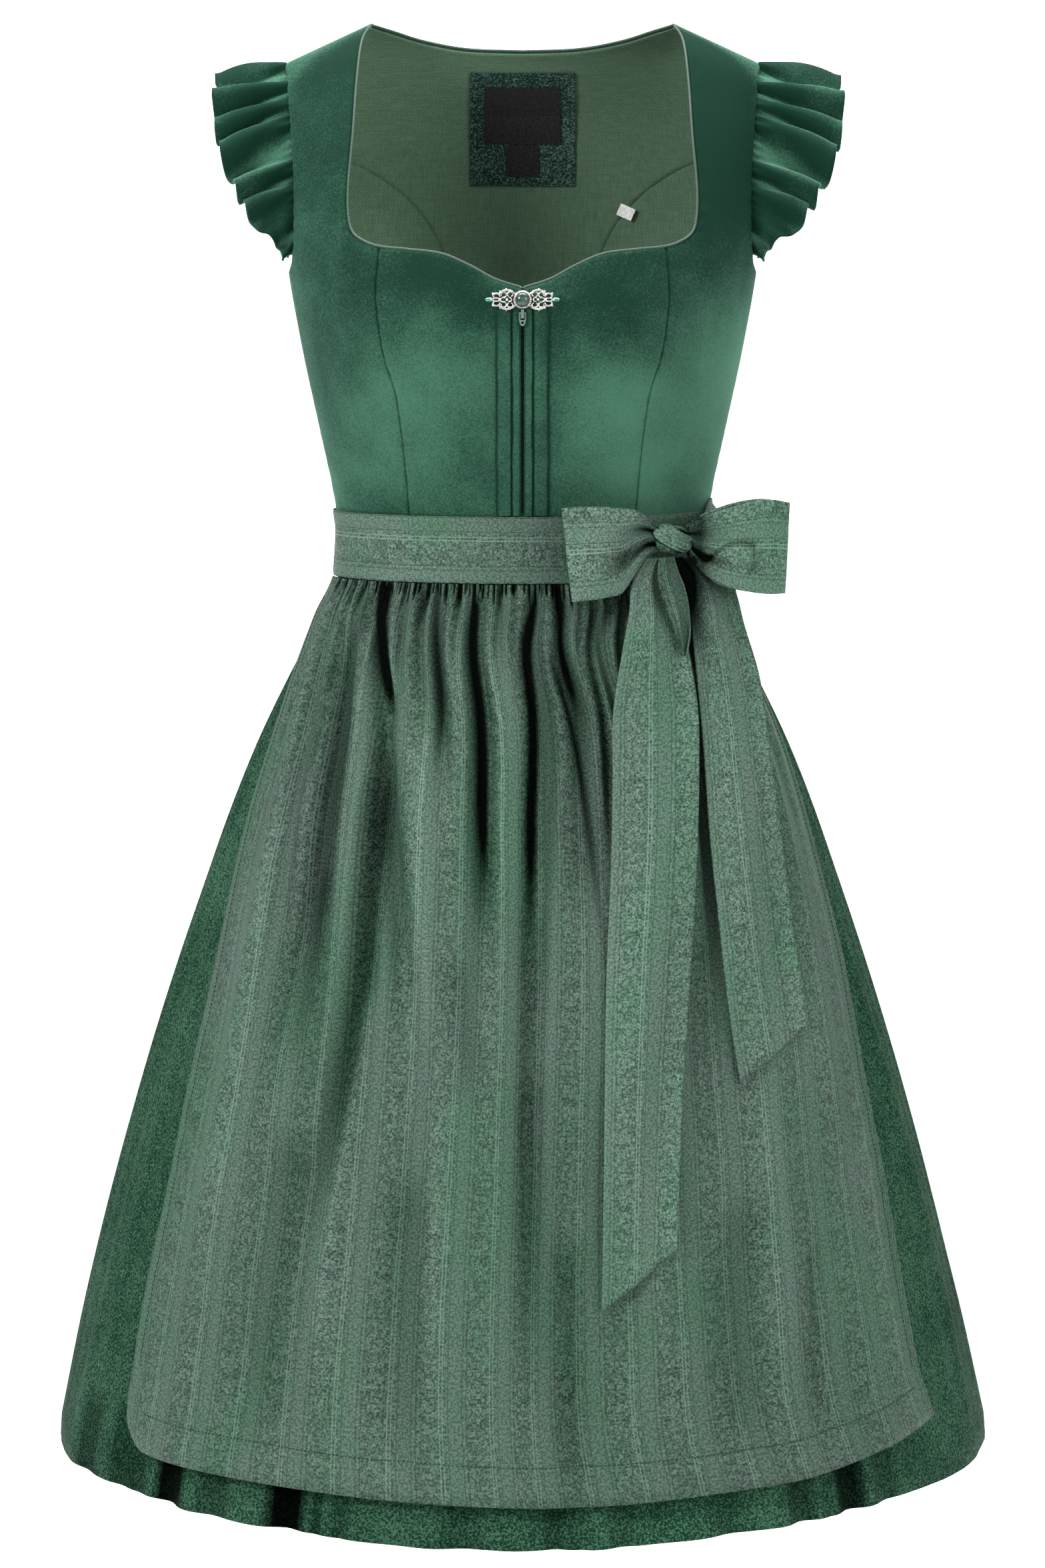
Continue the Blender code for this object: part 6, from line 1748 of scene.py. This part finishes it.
def make_velvet():
    """Short-napped velvet: a dark ground, paler where the nap is brushed up, darker under the painted shade
    and paler under the painted light set on each piece, with a soft sheen that fades where it is darker.
    """
    look = Look("velvet", 0.85, sheen_roughness=0.5, specular_ior_level=0.12, sheen_tint=(0.42, 0.92, 0.68))
    place = look.place()
    drift = look.use("cloth drift", vector=place, scale=8.0)["Value"]
    grain = look.noise(place, 760.0, 2.0, 0.75)
    level = drift * 1.1 - 0.05 + look.named("pile") * 0.42 + (grain - 0.5)
    brushed_and_painted_light = look.between(level, 0.0, 1.0)
    look.paint(
        base_color=look.mix(brushed_and_painted_light, (0.0026, 0.0270, 0.0150), (0.0540, 0.1560, 0.1000)),
        # The sheen follows the same level, so painted shade also takes it away
        sheen_weight=look.between(level, -0.25, 0.55, 0.02, 0.30),
        normal=look.bump(look.noise(place, 2200.0, 1.0) + grain, 0.00025, 0.6),
    )


def make_skirt_cloth():
    """Dark jacquard with fine pale specks in uneven clusters, and a copy with painted light, a little less
    green, for the label's patch.
    """
    for name, dark, light, gloss in (
        ("skirt_jacquard", (0.0030, 0.0235, 0.0115), (0.0480, 0.1220, 0.0740), 0.07),
        ("patch_jacquard_painted_light", (0.0060, 0.0240, 0.0170), (0.1000, 0.1700, 0.1400), 0.10),
    ):
        look = Look(name, 0.62)
        place = look.place()
        drift = look.use("cloth drift", vector=place, scale=14.0)["Value"]
        level = look.noise(place, 680.0, 2.0, 0.7) + (drift - 0.5) * 0.25
        pale = look.between(level, 0.42, 0.66)
        shaded(look, look.mix(pale, dark, light), gloss)
        look.paint(roughness=look.between(pale, 0.0, 1.0, 0.82, 0.60), normal=look.bump(level, 0.0004, 0.6))


def make_apron_cloth():
    """Satin-faced jacquard: dark and pale green threads, with greener stretches and greyer ones that are the
    satin's sheen, painted as drifting patches.
    """
    look = Look("apron_jacquard", 0.5)
    woven = look.use("striped jacquard", vector=look.laid())
    stretched = look.mapped(look.place(), scale=(1.0, 1.0, 0.45))
    # The greyer stretches are painted sheen of the satin; greener is plain green cloth
    greener = look.between(look.use("cloth drift", vector=stretched, scale=15.0)["Value"], 0.30, 0.72)
    dark = look.mix(greener, (0.0065, 0.0190, 0.0125), (0.0040, 0.0220, 0.0110))
    light = look.mix(greener, (0.1480, 0.2250, 0.1800), (0.0980, 0.2180, 0.1400))
    shaded(look, look.mix(woven["Pale"], dark, light), 0.30)
    look.paint(
        roughness=look.between(woven["Pale"], 0.0, 1.0, 0.62, 0.42),
        normal=look.bump(woven["Height"], 0.0003, 0.6),
    )


def make_lining_cloth():
    """Matt cotton: plain weave with slubs, with painted shade towards the wearer's left and painted light
    towards the wearer's right.
    """
    look = Look("lining_cotton", 0.9, specular_ior_level=0.15)
    place = look.place()
    upright = look.mapped(place, rotation=(math.pi / 2, 0.0, 0.0))
    weave = look.use("plain weave", vector=upright, pitch=0.0022)["Height"]
    slub = look.noise(look.mapped(place, scale=(1.0, 1.0, 0.10)), 900.0, 2.0)
    cross = look.noise(look.mapped(place, scale=(0.10, 0.10, 1.0)), 900.0, 2.0)
    level = weave * 0.40 + slub * 0.4 + cross * 0.3
    colour = look.mix(look.between(level, 0.40, 0.72), (0.078, 0.145, 0.088), (0.150, 0.250, 0.160))
    # Painted shade towards the wearer's left and painted light towards the wearer's right
    value = look.between(look.parts(place)[0], -0.10, 0.10, 1.14, 0.68)
    look.paint(base_color=look.lit(colour, value), normal=look.bump(level, 0.0002, 0.5))


def make_small_materials():
    """Piping, threads, labels, tape, metal, stones and lacquer."""
    look = Look("piping_satin", 0.45, specular_ior_level=0.5)
    around, along, _ = look.parts(look.laid())
    twist = along * (2 * math.pi / 0.0013) + around * (2 * math.pi)
    level = look.math("SINE", twist) * 0.5 + 0.5
    colour = look.mix(level, (0.010, 0.034, 0.022), (0.075, 0.128, 0.098))
    look.paint(base_color=colour, normal=look.bump(level, 0.0002, 0.6))

    for name, dark, light, scale in (
        ("label_weave", (0.008, 0.007, 0.008), (0.026, 0.023, 0.025), 1400.0),
        ("tag_weave", (0.620, 0.620, 0.600), (0.860, 0.860, 0.840), 1400.0),
        # The tape and the coil are near black, partly the tape's own dark colour and partly painted shade
        # for the gap between the fronts
        ("zip_tape", (0.004, 0.016, 0.010), (0.012, 0.040, 0.026), 900.0),
        ("thread", (0.006, 0.022, 0.013), (0.025, 0.060, 0.040), 900.0),
    ):
        look = Look(name, 0.8, specular_ior_level=0.25)
        level = look.noise(look.mapped(look.place(), scale=(1.0, 1.0, 0.25)), scale, 2.0)
        colour = look.mix(look.between(level, 0.35, 0.65), dark, light)
        look.paint(base_color=colour, normal=look.bump(level, 0.0002, 0.5))

    look = Look("silver", 0.3, metallic=1.0)
    worn = look.noise(look.place(), 420.0, 3.0)
    colour = look.mix(look.between(worn, 0.3, 0.6), (0.32, 0.29, 0.27), (0.80, 0.76, 0.73))
    look.paint(base_color=colour, roughness=look.between(worn, 0.3, 0.7, 0.42, 0.22))

    for name, dark, light in (
        ("green_stone", (0.006, 0.030, 0.022), (0.030, 0.085, 0.062)),
        ("green_glass", (0.006, 0.120, 0.070), (0.060, 0.300, 0.200)),
    ):
        look = Look(name, 0.08, specular_ior_level=0.6, coat_weight=0.6)
        cloud = look.between(look.noise(look.place(), 260.0, 2.0), 0.35, 0.65)
        look.paint(base_color=look.mix(cloud, dark, light))

    look = Look("zip_lacquer", 0.3, specular_ior_level=0.5)
    worn = look.noise(look.place(), 500.0, 2.0)
    look.paint(base_color=look.mix(worn, (0.070, 0.130, 0.100), (0.170, 0.250, 0.210)))


# Camera, floor and light

CAMERA_PLACE = (0.0, -3.1775, -0.1390)
CAMERA_AIM = (0.0, 0.0, -0.5180)
LENS = 106.5
SENSOR = 36.0
FLOOR = -1.40
FLOOR_FRONT = -9.0
FLOOR_HALF_WIDTH = 9.0
WALL_FOOT = 9.0  # where the floor starts to bend up into the wall
BEND_RADIUS = 1.2
WALL_TOP = 6.0
WORLD_STRENGTH = 0.46
Light = namedtuple("Light", "name place aim size power")
LIGHTS = rows_of(
    Light,
    ("key", (-2.3, -2.4, 1.1), (0.0, 0.0, -0.50), 1.1, 90.0),
    ("fill", (2.3, -2.2, 0.4), (0.0, 0.0, -0.55), 2.0, 34.0),
    ("backdrop_light", (0.0, 0.6, 2.6), (0.0, 3.6, -0.6), 3.0, 260.0),
    ("wall_light", (0.0, 5.8, 3.0), (0.0, 8.8, -0.2), 4.0, 460.0),
)


def aimed(name, data, place, aim):
    """Camera or light at a place, turned to its aim by a track quaternion."""
    obj = bpy.data.objects.new(name, data)
    obj.location = place
    obj.rotation_mode = "QUATERNION"
    obj.rotation_quaternion = (Vector(aim) - Vector(place)).to_track_quat("-Z", "Y")
    bpy.context.scene.collection.objects.link(obj)
    return obj


def make_camera():
    data = bpy.data.cameras.new("camera")
    data.lens = LENS
    data.sensor_width = SENSOR
    bpy.context.scene.camera = aimed("camera", data, CAMERA_PLACE, CAMERA_AIM)


def make_stage():
    """Pale floor that curves up into a backdrop, a white world and four soft lights."""
    look = Look("backdrop", 0.9)
    tone = look.noise(look.place(), 3.0, 2.0)
    look.paint(base_color=look.mix(tone, (0.93, 0.93, 0.93), (0.96, 0.96, 0.96)))
    bend = np.linspace(0, math.pi / 2, 16)
    curve_up = BEND_RADIUS * np.stack([np.sin(bend), 1 - np.cos(bend)], axis=1) + [WALL_FOOT, 0.0]
    profile = np.concatenate([[[FLOOR_FRONT, 0.0]], curve_up, [[WALL_FOOT + BEND_RADIUS, WALL_TOP]]])
    width = FLOOR_HALF_WIDTH * np.array([-1.0, 1.0])[:, None]
    points = np.stack(np.broadcast_arrays(width, profile[None, :, 0], FLOOR + profile[None, :, 1]), axis=-1)
    put("floor", points.reshape(-1, 3), grid_faces(2, len(profile)), "backdrop")
    world = bpy.data.worlds.new("studio")
    bpy.context.scene.world = world
    world.use_nodes = True
    world.node_tree.nodes["Background"].inputs["Color"].default_value = (1.0, 1.0, 1.0, 1.0)
    world.node_tree.nodes["Background"].inputs["Strength"].default_value = WORLD_STRENGTH
    for light in LIGHTS:
        data = bpy.data.lights.new(light.name, "AREA")
        data.size = light.size
        data.energy = light.power
        aimed(light.name, data, light.place, light.aim)
    bpy.context.scene.view_settings.view_transform = "Standard"


make_camera()
for make_group in (make_drift_group, make_weave_group, make_jacquard_group):
    make_group()
for make_look in (make_velvet, make_skirt_cloth, make_apron_cloth, make_lining_cloth, make_small_materials):
    make_look()
make_bodice()
make_piping()
make_tucks()
make_zip()
make_brooch()
make_sleeves()
make_skirt()
make_apron()
make_band()
make_bow()
repaint(LABELS)
make_stage()
